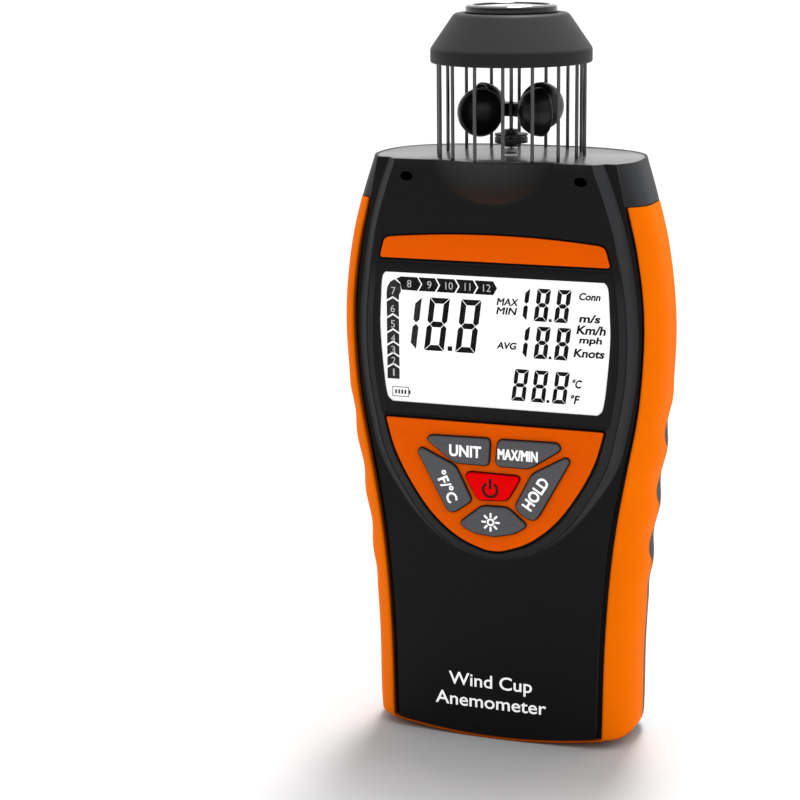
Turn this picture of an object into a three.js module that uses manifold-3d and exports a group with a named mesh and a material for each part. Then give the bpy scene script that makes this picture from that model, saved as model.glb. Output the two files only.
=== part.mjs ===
// Handheld weather meter: a cup anemometer in a wire cage, a compass in the cage's cap,
// a display and six keys. Millimetres, +Z up, the front faces -Y.
// The origin is on the base, under the axis of the cage.
import * as THREE from "three";
import { mergeVertices } from "three/addons/utils/BufferGeometryUtils.js";
import Module from "manifold-3d";

const wasm = await Module();
wasm.setup();

// Heights of the main stages.
const DECK_Z = 152;
const GRIP_TOP_Z = 141.7;
const HUB_Z = 163.4;
const CAP_Z = 175.2;
const CAP_RIM_HEIGHT = 3.7;
const CAP_CONE_HEIGHT = 8.6;
const COMPASS_TOP_Z = 189.5;

// Clearances and wall thicknesses.
const GAP = 0.3;
const SKIN = 2;
const WALL = 2;
const FAR = 60;

// The body's plan: front edge, parting plane and the rounded back.
const SPLIT_Y = 3;
const REAR_Y = 22;
const REAR_ROUNDNESS = 2.5;
const FRONT_Y = -14.8;
const FRONT_TOP_Y = -15.9;
const LEAN_LOW_Z = 112;
const EDGE_Y_POINTS = [[0, -12.8], [20, -12.8], [75, -13.4], [142, -13.2], [152, -12.4]];

// The grip boot wraps under the front casing with a low lip.
const LIP_HEIGHT = 0.7;

// The base is flat in the middle and lifts toward its corners.
const BASE_FLAT_HALF = 13;
const BASE_LIFT = 2.1;
const BASE_LIFT_REACH = 17;

// Half-widths by height: the widest line, the grip's inner edge and the raised front frame.
const SIDE_POINTS = [
  [0, 34.8], [4, 35.4], [26, 35.7], [46, 36.9], [66, 39.1], [88, 41.7],
  [106, 42.8], [118, 42.3], [131, 40.5], [142, 37.8], [152, 34.6],
];
const GRIP_EDGE_POINTS = [
  [0, 28.5], [28, 29.1], [52, 30.9], [76, 34.4], [92, 36.9],
  [107, 37.9], [118, 37.6], [130, 35.9], [142, 33.1], [152, 31.0],
];
const WIDEST_Y_POINTS = [[0, 1.3], [60, 0.9], [100, -2.3], [130, -2.9], [152, -1.2]];
const FRAME_POINTS = [
  [46, 0], [47, 5], [49.8, 12.4], [56.5, 20.6], [65.8, 27.3], [75, 32.0], [83.2, 34.1],
  [96, 36.3], [107, 36.9], [118, 36.3], [132, 34.2], [144, 30.8], [152, 27.9],
];
const FRAME_WIDTH = 4.2;
const FRAME_TOP_Z = 134.6;
const FRAME_FRONT_Y = -15;
const RECESS_FLOOR_Y = -13.1;
const PANEL_POINTS = [
  [51.7, 0], [55, 10], [60.6, 16.5], [68.8, 22.6], [77.2, 26.8], [85.2, 28.9],
];

// Holes in the front casing: the display, the vents beside the dome and the room for the boards.
const DISPLAY_HALF = 31.6;
const DISPLAY_LOW_Z = 88.6;
const DISPLAY_HIGH_Z = 124;
const VENT_X = 22.6;
const VENT_Z = 147.7;
const VENT_RADIUS = 1.3;
const BOARD_ROOM_HALF = 26.5;
const BOARD_ROOM_Y = -10.8;
const BOARD_ROOM_LOW_Z = 16;
const BOARD_ROOM_HIGH_Z = 139;

// The front panels: the window over the display, the accent bar and the keypad panel.
const PANEL_BACK_Y = -13.4;
const WINDOW_LOW_Z = 86.4;
const WINDOW_HIGH_Z = 125.6;
const WINDOW_MARGIN = 0.4;
const LCD_HALF = 31;
const LCD_LOW_Z = 89.2;
const LCD_HIGH_Z = 123.4;
const LCD_BACK_Y = -11.1;
const LCD_THICKNESS = 1.8;
const BACKLIGHT_BACK_Y = -7.7;
const BACKLIGHT_THICKNESS = 3;

// Boards and cells inside.
const PCB_HALF = 28;
const PCB_FRONT_Y = -7.3;
const PCB_LOW_Z = 54;
const PCB_HIGH_Z = 138;
const PCB_THICKNESS = 1.6;
const SENSOR_BOARD_HALF = 9;
const SENSOR_BOARD_Z = 143;
const CELL_RADIUS = 5.1;
const CELL_LENGTH = 43.4;
const CELL_SPACING = 12;
const CELL_Y = 12;
const CELL_LOW_Z = 18.5;

// The dome under the cage is part of a sphere.
const DOME_RADIUS = 31.7;
const DOME_CENTRE_Y = 10.9;
const DOME_CENTRE_Z = 158.9;
const DOME_LOW_Z = 138;

// Finger grips on the sides.
const GRIP_PITCH = 15.2;
const GRIP_SCALLOP_Z = 66.8;
const GRIP_SCALLOPS = [-1, 0, 1];
const GRIP_RIPPLE = 0.4;
const GRIP_BUMP_DROP = 4.2;
const GRIP_TONGUE = 3.4;
const GRIP_LOW_Z = GRIP_SCALLOP_Z - 1.5 * GRIP_PITCH;
const GRIP_HIGH_Z = 92;

// Rotor, cage and magnet.
const CAGE_RADIUS = 18.5;
const ROD_RADIUS = 0.45;
const ROD_COUNT = 16;
const CAP_RADIUS = 20.34;
const CAP_TOP_RADIUS = 14.1;
const SPINDLE_RADIUS = 0.5;
const CUP_RADIUS = 6.1;
const CUP_WALL = 0.55;
const CUP_OFFSET = 9.95;
const CUP_LEAD = 3.27;
const CUP_COUNT = 4;
const ARM_HEIGHT = 3.3;
const ARM_THICKNESS = 1.6;
const MAGNET_DISC_RADIUS = 4.2;
const BOSS_RADIUS = 1.7;
const COMPASS_RADIUS = 11.5;

// Keys.
const KEY_FRONT_Y = -15.9;
const KEY_BACK_Y = -12.6;
const KEY_CLEARANCE = 0.35;
const KEY_CORNER = 0.9;

const object = new THREE.Group();

// ---------------------------------------------------------------- small helpers

function clamp(value, low, high) {
  return Math.min(Math.max(value, low), high);
}

// A smooth curve through a few [height, value] points.
function profile(points) {
  const last = points.length - 1;
  const slope = (index) => {
    const before = points[Math.max(index - 1, 0)];
    const after = points[Math.min(index + 1, last)];
    return (after[1] - before[1]) / (after[0] - before[0]);
  };
  return (z) => {
    let index = 0;
    while (index < last - 1 && z > points[index + 1][0]) {
      index += 1;
    }
    const [z0, v0] = points[index];
    const [z1, v1] = points[index + 1];
    const span = z1 - z0;
    const t = clamp((z - z0) / span, 0, 1);
    const rise = v0 * (2 * t ** 3 - 3 * t ** 2 + 1) + v1 * (3 * t ** 2 - 2 * t ** 3);
    const bend = slope(index) * (t ** 3 - 2 * t ** 2 + t) + slope(index + 1) * (t ** 3 - t ** 2);
    return rise + bend * span;
  };
}

function addPart(name, geometry, color, roughness, metalness) {
  const material = new THREE.MeshStandardMaterial({ color, roughness, metalness });
  const mesh = new THREE.Mesh(geometry, material);
  mesh.name = name;
  object.add(mesh);
  return mesh;
}

// A closed geometry as a solid that can be joined and cut.
function solid(geometry) {
  const plain = geometry.clone();
  plain.deleteAttribute("normal");
  plain.deleteAttribute("uv");
  const merged = mergeVertices(plain, 1e-4);
  const vertProperties = new Float32Array(merged.attributes.position.array);
  const triVerts = new Uint32Array(merged.index.array);
  return new wasm.Manifold(new wasm.Mesh({ numProp: 3, vertProperties, triVerts }));
}

function shell(manifold) {
  const mesh = manifold.getMesh();
  const geometry = new THREE.BufferGeometry();
  geometry.setAttribute("position", new THREE.BufferAttribute(mesh.vertProperties, 3));
  geometry.setIndex(new THREE.BufferAttribute(mesh.triVerts, 1));
  return geometry;
}

function box(x0, x1, y0, y1, z0, z1) {
  const geometry = new THREE.BoxGeometry(x1 - x0, y1 - y0, z1 - z0);
  geometry.translate((x0 + x1) / 2, (y0 + y1) / 2, (z0 + z1) / 2);
  return geometry;
}

// A turned shape about the Z axis from [radius, height] points that start and end on the axis.
function turned(points, segments) {
  const path = points.map(([radius, height]) => new THREE.Vector2(radius, height));
  const geometry = new THREE.LatheGeometry(path, segments);
  geometry.rotateX(Math.PI / 2);
  return geometry;
}

function disc(radius, z0, z1, segments) {
  return turned([[0, z0], [radius, z0], [radius, z1], [0, z1]], segments);
}

// A ring is turned from a closed profile that stays clear of the axis.
function ring(inner, outer, z0, z1, segments) {
  return turned([[inner, z0], [outer, z0], [outer, z1], [inner, z1], [inner, z0]], segments);
}

// A plate in the XZ plane, from its back face at backY to its front face at frontY.
function plate(shape, frontY, backY, curveSegments = 6) {
  const depth = backY - frontY;
  const geometry = new THREE.ExtrudeGeometry(shape, { depth, bevelEnabled: false, curveSegments });
  geometry.rotateX(Math.PI / 2);
  geometry.translate(0, backY, 0);
  return geometry;
}

// A closed loft through plan outlines, from the lowest level to the highest.
function loft(levels, outline) {
  const rows = levels.map((z) => outline(z));
  const count = rows[0].length;
  const positions = [];
  rows.forEach((row, level) => row.forEach(([x, y]) => positions.push(x, y, levels[level])));
  const index = [];
  for (let level = 0; level < rows.length - 1; level += 1) {
    for (let i = 0; i < count; i += 1) {
      const a = level * count + i;
      const b = level * count + ((i + 1) % count);
      index.push(a, b, b + count, a, b + count, a + count);
    }
  }
  const faces = (row) => THREE.ShapeUtils.triangulateShape(row.map(([x, y]) => new THREE.Vector2(x, y)), []);
  const top = (rows.length - 1) * count;
  faces(rows[0]).forEach(([a, b, c]) => index.push(a, c, b));
  faces(rows[rows.length - 1]).forEach(([a, b, c]) => index.push(top + a, top + b, top + c));
  const geometry = new THREE.BufferGeometry();
  geometry.setAttribute("position", new THREE.Float32BufferAttribute(positions, 3));
  geometry.setIndex(index);
  return geometry;
}

// A polygon with rounded corners, as a shape.
function roundedShape(corners, radius) {
  const shape = new THREE.Shape();
  const count = corners.length;
  corners.forEach(([x, z], i) => {
    const corner = new THREE.Vector2(x, z);
    const before = new THREE.Vector2(...corners[(i + count - 1) % count]);
    const after = new THREE.Vector2(...corners[(i + 1) % count]);
    const startReach = Math.min(radius, 0.45 * before.distanceTo(corner));
    const endReach = Math.min(radius, 0.45 * after.distanceTo(corner));
    const start = corner.clone().add(before.sub(corner).setLength(startReach));
    const end = corner.clone().add(after.sub(corner).setLength(endReach));
    if (i === 0) {
      shape.moveTo(start.x, start.y);
    } else {
      shape.lineTo(start.x, start.y);
    }
    shape.quadraticCurveTo(x, z, end.x, end.y);
  });
  shape.closePath();
  return shape;
}

// ---------------------------------------------------------------- the body's outline

const sideHalf = profile(SIDE_POINTS);
const gripEdge = profile(GRIP_EDGE_POINTS);
const widestY = profile(WIDEST_Y_POINTS);
const edgeY = profile(EDGE_Y_POINTS);
const frameHalf = profile(FRAME_POINTS);
const panelHalf = profile(PANEL_POINTS);

// The front is upright up to the display's upper half, then leans out toward the deck.
function frontY(z) {
  return THREE.MathUtils.lerp(FRONT_Y, FRONT_TOP_Y, clamp((z - LEAN_LOW_Z) / (DECK_Z - LEAN_LOW_Z), 0, 1));
}

function scallop(z) {
  const nearest = GRIP_SCALLOPS.map((k) => Math.abs(z - GRIP_SCALLOP_Z - k * GRIP_PITCH));
  const distance = Math.min(...nearest);
  return Math.max(0, Math.cos((2 * Math.PI * distance) / GRIP_PITCH) + 0.15) / 1.15;
}

function ripple(z) {
  const reach = clamp((GRIP_PITCH * 2 - Math.abs(z - GRIP_SCALLOP_Z)) / 8, 0, 1);
  return GRIP_RIPPLE * reach * Math.cos((2 * Math.PI * (z - GRIP_SCALLOP_Z + GRIP_BUMP_DROP)) / GRIP_PITCH);
}

// The plan outline at one height, counter-clockwise from the middle of the front.
function bodyOutline(z, inset) {
  const height = clamp(z, 0, DECK_Z);
  const corner = gripEdge(height) - inset * 0.5;
  const cornerY = edgeY(height) + inset;
  const half = sideHalf(height) + ripple(height) - inset;
  const middle = widestY(height);
  const rear = REAR_Y - inset;
  const bow = edgeY(height) - frontY(height);
  const right = [];
  for (let i = 1; i <= 3; i += 1) {
    const t = i / 3;
    right.push([corner * t, cornerY - bow * (1 - t * t)]);
  }
  for (let i = 1; i <= 4; i += 1) {
    const t = i / 4;
    right.push([corner + (half - corner) * (1 - (1 - t) ** 3), cornerY + (middle - cornerY) * t]);
  }
  for (let i = 1; i <= 6; i += 1) {
    const angle = (i / 7) * (Math.PI / 2);
    const x = half * Math.cos(angle) ** (2 / REAR_ROUNDNESS);
    const y = middle + (rear - middle) * Math.sin(angle) ** (2 / REAR_ROUNDNESS);
    right.push([x, y]);
  }
  const left = right.map(([x, y]) => [-x, y]).reverse();
  return [[0, cornerY - bow], ...right, [0, rear], ...left];
}

const BODY_LEVELS = [0, 4, 14, 26, 36];
for (let z = GRIP_LOW_Z; z < GRIP_HIGH_Z; z += GRIP_PITCH / 4) {
  BODY_LEVELS.push(z);
}
BODY_LEVELS.push(98, 107, 116, 125, 133, 142, DECK_Z);

// The space above the base, whose underside is flat in the middle and lifts to each side.
function aboveBase(inset) {
  const shape = new THREE.Shape();
  shape.moveTo(-FAR, DECK_Z + 10);
  for (let x = -FAR; x <= FAR; x += 2) {
    const reach = clamp((Math.abs(x) - BASE_FLAT_HALF) / BASE_LIFT_REACH, 0, 1.4);
    if (reach > 0 || Math.abs(Math.abs(x) - BASE_FLAT_HALF) < 2) {
      shape.lineTo(x, inset + BASE_LIFT * reach ** 1.2);
    }
  }
  shape.lineTo(FAR, DECK_Z + 10);
  shape.closePath();
  return solid(plate(shape, -FAR, FAR));
}

// The body with its sides moved in by the inset, between two heights.
function bodySolid(inset, floor, ceiling) {
  const inner = BODY_LEVELS.filter((z) => z > floor + 1 && z < ceiling - 1);
  const whole = solid(loft([floor, ...inner, ceiling], (z) => bodyOutline(z, inset)));
  return floor < GRIP_LOW_Z && floor >= 0 ? whole.intersect(aboveBase(floor)) : whole;
}

// Everything in front of the parting plane, whose edge steps round the finger grips.
function frontHalf(clearance, gripped) {
  const shape = new THREE.Shape();
  shape.moveTo(-FAR, -10);
  shape.lineTo(SPLIT_Y - clearance, -10);
  if (gripped) {
    for (let z = GRIP_LOW_Z; z < GRIP_HIGH_Z; z += GRIP_PITCH / 8) {
      shape.lineTo(SPLIT_Y - clearance - GRIP_TONGUE * scallop(z), z);
    }
  }
  shape.lineTo(SPLIT_Y - clearance, DECK_Z + 10);
  shape.lineTo(-FAR, DECK_Z + 10);
  const geometry = new THREE.ExtrudeGeometry(shape, { depth: 2 * FAR, bevelEnabled: false });
  geometry.translate(0, 0, -FAR);
  const forward = new THREE.Vector3(0, 1, 0);
  const up = new THREE.Vector3(0, 0, 1);
  const right = new THREE.Vector3(1, 0, 0);
  geometry.applyMatrix4(new THREE.Matrix4().makeBasis(forward, up, right));
  return solid(geometry);
}

// A mirrored outline in the XZ plane from a half-width curve.
function mirroredShape(half, heights, extra) {
  const right = heights.map((z) => [Math.max(half(z) + extra, 0.2), z]);
  const left = right.map(([x, z]) => [-x, z]).reverse();
  return new THREE.Shape([...right, ...left].map(([x, z]) => new THREE.Vector2(x, z)));
}

function steps(from, to, count) {
  return Array.from({ length: count + 1 }, (_, i) => from + ((to - from) * i) / count);
}

// ---------------------------------------------------------------- casing

// The bulge under the cage, a slice of a sphere that stands out of the front.
function domeSolid() {
  const sphere = new THREE.SphereGeometry(DOME_RADIUS, 36, 24);
  sphere.translate(0, DOME_CENTRE_Y, DOME_CENTRE_Z);
  const slice = box(-20, 20, -24, -10, DOME_LOW_Z, DECK_Z);
  return solid(sphere).intersect(solid(slice));
}

// The front casing's reach: the tub inside the grip, the front face and the shoulders.
function frontEnvelope(gap) {
  const lip = LIP_HEIGHT + GAP - gap;
  const tub = bodySolid(SKIN + GAP - gap, SKIN + GAP - gap, DECK_Z);
  const face = mirroredShape(gripEdge, steps(lip, DECK_Z, 14), gap - GAP);
  const shoulders = box(-FAR, FAR, -FAR, FAR, GRIP_TOP_Z - gap, DECK_Z);
  return tub.add(solid(plate(face, -40, -9 + gap))).add(solid(shoulders));
}

const outerBody = bodySolid(0, 0, DECK_Z);
const displayHole = [
  [-DISPLAY_HALF, DISPLAY_LOW_Z], [DISPLAY_HALF, DISPLAY_LOW_Z],
  [DISPLAY_HALF, DISPLAY_HIGH_Z], [-DISPLAY_HALF, DISPLAY_HIGH_Z],
];
const deckHeights = [DECK_Z - 1.5, DECK_Z + 1];

const frameLevels = [46, 47, 48.4, 50.5, 53, 57, 62, 68, 76, 86, 97, 110, 122, 134, 144, DECK_Z];

// The raised frame: a band round the display and the keys, open at the top.
function frameSolid() {
  const raised = solid(plate(mirroredShape(frameHalf, frameLevels, 0), FRAME_FRONT_Y, -12));
  return raised.subtract(recessSolid());
}

// The recess inside the frame, where the front panels lie.
function recessSolid() {
  const inner = solid(plate(mirroredShape(frameHalf, frameLevels, -FRAME_WIDTH), -20, RECESS_FLOOR_Y));
  return inner.intersect(solid(box(-FAR, FAR, -25, 0, 50.8, FRAME_TOP_Z)));
}

function addFrontCasing() {
  const hollow = bodySolid(SKIN + WALL + GAP, SKIN + WALL + GAP, DECK_Z - 4);
  const behindFront = solid(box(-FAR, FAR, BOARD_ROOM_Y, FAR, -1, DECK_Z + 1));
  const roomHalf = BOARD_ROOM_HALF;
  const boardRoom = solid(box(-roomHalf, roomHalf, BOARD_ROOM_Y, 0, BOARD_ROOM_LOW_Z, BOARD_ROOM_HIGH_Z));
  const keyHole = mirroredShape(panelHalf, [55, 60.6, 68.8, 77.2, 83], -2.2);
  let casing = outerBody.intersect(frontEnvelope(0)).intersect(frontHalf(GAP, false));
  casing = casing.subtract(recessSolid()).add(frameSolid()).add(domeSolid());
  casing = casing.subtract(hollow.intersect(behindFront)).subtract(boardRoom);
  casing = casing.subtract(solid(plate(roundedShape(displayHole, 2), -20, 0)));
  casing = casing.subtract(solid(plate(keyHole, -20, 0)));
  casing = casing.subtract(solid(loft(deckHeights, (z) => bodyOutline(z, 1))));
  for (const side of [-1, 1]) {
    const vent = new THREE.CylinderGeometry(VENT_RADIUS, VENT_RADIUS, 12, 12);
    vent.scale(1.3, 1, 0.9);
    vent.translate(side * VENT_X, -14, VENT_Z);
    casing = casing.subtract(solid(vent));
  }
  addPart("front_casing", shell(casing), 0x1c1c1c, 0.55, 0);
}

function addGripBoot() {
  const boot = outerBody.intersect(frontHalf(0, true)).subtract(frontEnvelope(GAP));
  addPart("grip_boot", shell(boot), 0xff6e00, 0.6, 0);
}

const DOOR_HALF = 16;
const DOOR_LOW_Z = 14;
const DOOR_HIGH_Z = 68;

function doorSpace(gap) {
  return solid(box(-DOOR_HALF - gap, DOOR_HALF + gap, 10, FAR, DOOR_LOW_Z - gap, DOOR_HIGH_Z + gap));
}

function rearShell() {
  const hollow = bodySolid(SKIN + GAP, SKIN + GAP, DECK_Z - 4);
  return outerBody.subtract(hollow);
}

const SCREW_PLACES = [[-27, 24], [27, 24], [-27, 128], [27, 128]];

function addRearCasing() {
  const behind = rearShell().subtract(frontHalf(0, false));
  const skin = outerBody.subtract(bodySolid(SKIN, -1, DECK_Z + 1));
  const grips = solid(box(-FAR, FAR, -8, SPLIT_Y + 1, 46, 92));
  const tongues = skin.intersect(grips).subtract(frontHalf(-GAP, true));
  let casing = behind.add(tongues).subtract(doorSpace(GAP));
  casing = casing.subtract(solid(loft(deckHeights, (z) => bodyOutline(z, 1))));
  for (const [x, z] of SCREW_PLACES) {
    const sink = new THREE.CylinderGeometry(2.9, 2.9, 30, 16);
    sink.translate(x, 12 + 15, z);
    casing = casing.subtract(solid(sink));
    const post = new THREE.CylinderGeometry(3.9, 3.9, 12, 16);
    post.translate(x, 6.6 + 3, z);
    const pocket = new THREE.CylinderGeometry(2.9, 2.9, 8, 16);
    pocket.translate(x, 13.3 + 4, z);
    casing = casing.add(solid(post).subtract(solid(pocket)));
  }
  addPart("rear_casing", shell(casing), 0x1d1d1d, 0.6, 0);
}

function addScrews() {
  SCREW_PLACES.forEach(([x, z], i) => {
    const screw = turned([[0, -2.2], [2.4, -2.2], [2.4, -0.6], [1.6, 0], [0, 0]], 14);
    screw.rotateX(-Math.PI / 2);
    screw.translate(x, 15.9, z);
    addPart(`case_screw_${i + 1}`, screw, 0x8a8c8f, 0.35, 0.9);
  });
}

function addBatteryDoor() {
  const door = rearShell().subtract(frontHalf(0, false)).intersect(doorSpace(0));
  const screwHole = new THREE.CylinderGeometry(2, 2, 30, 14);
  screwHole.translate(0, 21, DOOR_HIGH_Z - 6);
  addPart("battery_door", shell(door.subtract(solid(screwHole))), 0x1d1d1d, 0.6, 0);
  const screw = turned([[0, -2], [1.6, -2], [1.6, -0.4], [1.1, 0], [0, 0]], 14);
  screw.rotateX(-Math.PI / 2);
  screw.translate(0, REAR_Y - 0.5, DOOR_HIGH_Z - 6);
  addPart("door_screw", screw, 0x8a8c8f, 0.35, 0.9);
}

function addTopDeck() {
  const levels = [DECK_Z - 1.2, DECK_Z];
  addPart("top_deck", loft(levels, (z) => bodyOutline(z, 1 + GAP)), 0x8f9194, 0.4, 0);
}

// ---------------------------------------------------------------- front panels and display

function accentShape() {
  const shape = new THREE.Shape();
  shape.moveTo(-30, 126.7);
  shape.lineTo(30, 126.7);
  shape.lineTo(29.1, 130.6);
  shape.quadraticCurveTo(28.7, 132, 27.3, 132.2);
  shape.quadraticCurveTo(0, 135, -27.3, 132.2);
  shape.quadraticCurveTo(-28.7, 132, -29.1, 130.6);
  shape.closePath();
  return shape;
}

function addFrontPanels() {
  addPart("accent_panel", plate(accentShape(), FRONT_Y - GAP, PANEL_BACK_Y, 8), 0xdc5a00, 0.45, 0);
  const windowHeights = steps(WINDOW_LOW_Z, WINDOW_HIGH_Z, 5);
  const windowShape = mirroredShape(frameHalf, windowHeights, -FRAME_WIDTH - WINDOW_MARGIN);
  addPart("display_window", plate(windowShape, FRONT_Y, PANEL_BACK_Y), 0x202428, 0.1, 0);
  const lcdFront = LCD_BACK_Y - LCD_THICKNESS;
  const lcd = box(-LCD_HALF, LCD_HALF, lcdFront, LCD_BACK_Y, LCD_LOW_Z, LCD_HIGH_Z);
  addPart("lcd_panel", lcd, 0xf4f6f8, 0.3, 0);
  const backlightFront = BACKLIGHT_BACK_Y - BACKLIGHT_THICKNESS;
  const backlight = box(-LCD_HALF, LCD_HALF, backlightFront, BACKLIGHT_BACK_Y, LCD_LOW_Z, LCD_HIGH_Z);
  addPart("lcd_backlight", backlight, 0xe8eef4, 0.4, 0);
}

const KEYS = {
  key_unit: [[-18.2, 81.6], [-0.7, 81.6], [-0.7, 74.4], [-10.2, 74.4]],
  key_max_min: [[1.2, 81.6], [18.4, 81.6], [9.8, 74.4], [1.2, 74.4]],
  key_temperature: [[-20.3, 78.3], [-9.8, 73.6], [-5.6, 64.6], [-11.5, 60.9], [-12.6, 61.8]],
  key_hold: [[20.3, 78.3], [12.6, 61.8], [11.5, 60.9], [5.6, 64.6], [9.8, 73.6]],
  key_power: [[-7.6, 72.4], [7.6, 72.4], [3.9, 65.3], [-3.9, 65.3]],
  key_backlight: [[-3.2, 63.8], [3.2, 63.8], [9.3, 58.9], [4.4, 55.9], [-4.4, 55.9], [-9.3, 58.9]],
};

// A key outline grown by a margin about its middle.
function keyShape(corners, margin) {
  const middle = corners.reduce((sum, [x, z]) => [sum[0] + x, sum[1] + z], [0, 0]);
  const centre = middle.map((value) => value / corners.length);
  const grown = corners.map(([x, z]) => {
    const dx = x - centre[0];
    const dz = z - centre[1];
    const length = Math.hypot(dx, dz);
    return [x + (dx / length) * margin * 1.3, z + (dz / length) * margin * 1.3];
  });
  return roundedShape(grown, KEY_CORNER);
}

function addKeys() {
  const shape = mirroredShape(panelHalf, [51.7, 52.2, 53.4, 55, 57.6, 60.6, 64.5, 68.8, 73, 77.2, 85.2], 0);
  let panel = solid(plate(shape, FRONT_Y, PANEL_BACK_Y));
  for (const [name, corners] of Object.entries(KEYS)) {
    panel = panel.subtract(solid(plate(keyShape(corners, KEY_CLEARANCE), -20, 0, 3)));
    const color = name === "key_power" ? 0xf00000 : 0x5a5c5e;
    addPart(name, plate(keyShape(corners, 0), KEY_FRONT_Y, KEY_BACK_Y, 3), color, 0.5, 0);
  }
  addPart("keypad_panel", shell(panel), 0xdc5a00, 0.45, 0);
  addPart("keypad_mat", box(-19, 19, -10.4, -9.2, 56.5, 81.5), 0x3a3d40, 0.8, 0);
}

// ---------------------------------------------------------------- electronics and batteries

function addElectronics() {
  const pcbBack = PCB_FRONT_Y + PCB_THICKNESS;
  const mainBoard = box(-PCB_HALF, PCB_HALF, PCB_FRONT_Y, pcbBack, PCB_LOW_Z, PCB_HIGH_Z);
  addPart("main_pcb", mainBoard, 0x1f5c34, 0.5, 0);
  const half = SENSOR_BOARD_HALF;
  const sensorBoard = box(-half, half, -4, 4, SENSOR_BOARD_Z, SENSOR_BOARD_Z + PCB_THICKNESS);
  addPart("sensor_board", sensorBoard, 0x1f5c34, 0.5, 0);
  const bead = new THREE.SphereGeometry(1.1, 12, 8);
  bead.translate(VENT_X, -9.3, VENT_Z);
  addPart("thermistor", bead, 0x2b2620, 0.4, 0);
  for (const side of [-1, 1]) {
    const tip = CELL_LENGTH + 1.1;
    const outline = [
      [0, 0], [CELL_RADIUS, 0], [CELL_RADIUS, CELL_LENGTH], [1.9, CELL_LENGTH], [1.9, tip], [0, tip],
    ];
    const cell = turned(outline, 20);
    cell.translate((side * CELL_SPACING) / 2, CELL_Y, CELL_LOW_Z);
    addPart(side < 0 ? "battery_1" : "battery_2", cell, 0x3c6f94, 0.35, 0.4);
  }
  addPart("battery_contacts", box(-11, 11, 7.5, 16.5, 16.6, 18), 0xb8b8b0, 0.3, 0.9);
}

// ---------------------------------------------------------------- cage, cap and compass

function addCage() {
  for (let i = 0; i < ROD_COUNT; i += 1) {
    const angle = ((i + 0.5) / ROD_COUNT) * 2 * Math.PI;
    const rod = disc(ROD_RADIUS, DECK_Z + GAP / 2, CAP_Z - GAP / 2, 8);
    rod.translate(CAGE_RADIUS * Math.sin(angle), -CAGE_RADIUS * Math.cos(angle), 0);
    addPart(`cage_rod_${String(i + 1).padStart(2, "0")}`, rod, 0x2c2c2e, 0.25, 0.9);
  }
}

function addCap() {
  const rimTop = CAP_Z + CAP_RIM_HEIGHT;
  const top = rimTop + CAP_CONE_HEIGHT;
  const seat = COMPASS_RADIUS + GAP;
  const outline = [
    [3.3, CAP_Z], [CAP_RADIUS - 0.4, CAP_Z], [CAP_RADIUS, CAP_Z + 0.4], [CAP_RADIUS, rimTop - 0.4],
    [CAP_RADIUS - 0.6, rimTop], [CAP_TOP_RADIUS + 0.6, top - 0.5], [CAP_TOP_RADIUS - 0.3, top],
    [seat, top], [seat, 183.2], [3.3, 183.2], [3.3, CAP_Z],
  ];
  addPart("cage_cap", turned(outline, 32), 0x3a3a3c, 0.5, 0);
  const bush = [[0, 180], [3, 180], [3, CAP_Z + 0.3], [1.4, CAP_Z + 0.3], [0.9, 177.4], [0, 178.6]];
  addPart("upper_bearing", turned([...bush].reverse(), 12), 0x9a8f6a, 0.3, 0.8);
}

function addCompass() {
  const floor = 183.5;
  const bezel = [
    [0, floor], [10.9, floor], [10.9, 187.3], [COMPASS_RADIUS, 187.3], [COMPASS_RADIUS, COMPASS_TOP_Z - 0.5],
    [COMPASS_RADIUS - 0.5, COMPASS_TOP_Z], [9.9, COMPASS_TOP_Z], [9.9, 184.5], [0, 184.5],
  ];
  addPart("compass_bezel", turned(bezel, 28), 0x15171c, 0.35, 0);
  addPart("compass_lens", disc(9.5, 188.3, 189.3, 28), 0xe6eef4, 0.05, 0);
  const pivot = [[0, 184.8], [0.9, 184.8], [0.9, 185.4], [0, 186.6]];
  addPart("compass_pivot", turned(pivot, 12), 0xc0a060, 0.3, 0.9);
  const card = [
    [0, 187.1], [0.5, 186.3], [1.1, 186.3], [1.1, 186.7], [9.2, 186.7],
    [9.2, 187.2], [2.6, 187.2], [2.2, 187.9], [0, 187.9],
  ];
  addPart("compass_card", turned(card, 24), 0x3a4a9a, 0.5, 0);
}

// ---------------------------------------------------------------- rotor

function addLowerBearing() {
  const post = [
    [0, DECK_Z + 0.7], [0.9, DECK_Z + 1.65], [BOSS_RADIUS, DECK_Z + 1.65], [BOSS_RADIUS, DECK_Z + 0.7],
    [1.95, DECK_Z + 0.6], [1.95, DECK_Z + 0.2], [0, DECK_Z + 0.2],
  ];
  addPart("lower_bearing", turned([...post].reverse(), 16), 0xb5b5b8, 0.2, 0.9);
}

function addSpindle() {
  const bottom = DECK_Z + 1.15;
  const top = 177.9;
  const shaft = [
    [0, bottom], [SPINDLE_RADIUS, bottom + 1.5], [SPINDLE_RADIUS, top - 2], [0.62, top - 1.9], [0, top],
  ];
  addPart("spindle", turned(shaft, 12), 0x5d6064, 0.3, 0.9);
}

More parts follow.
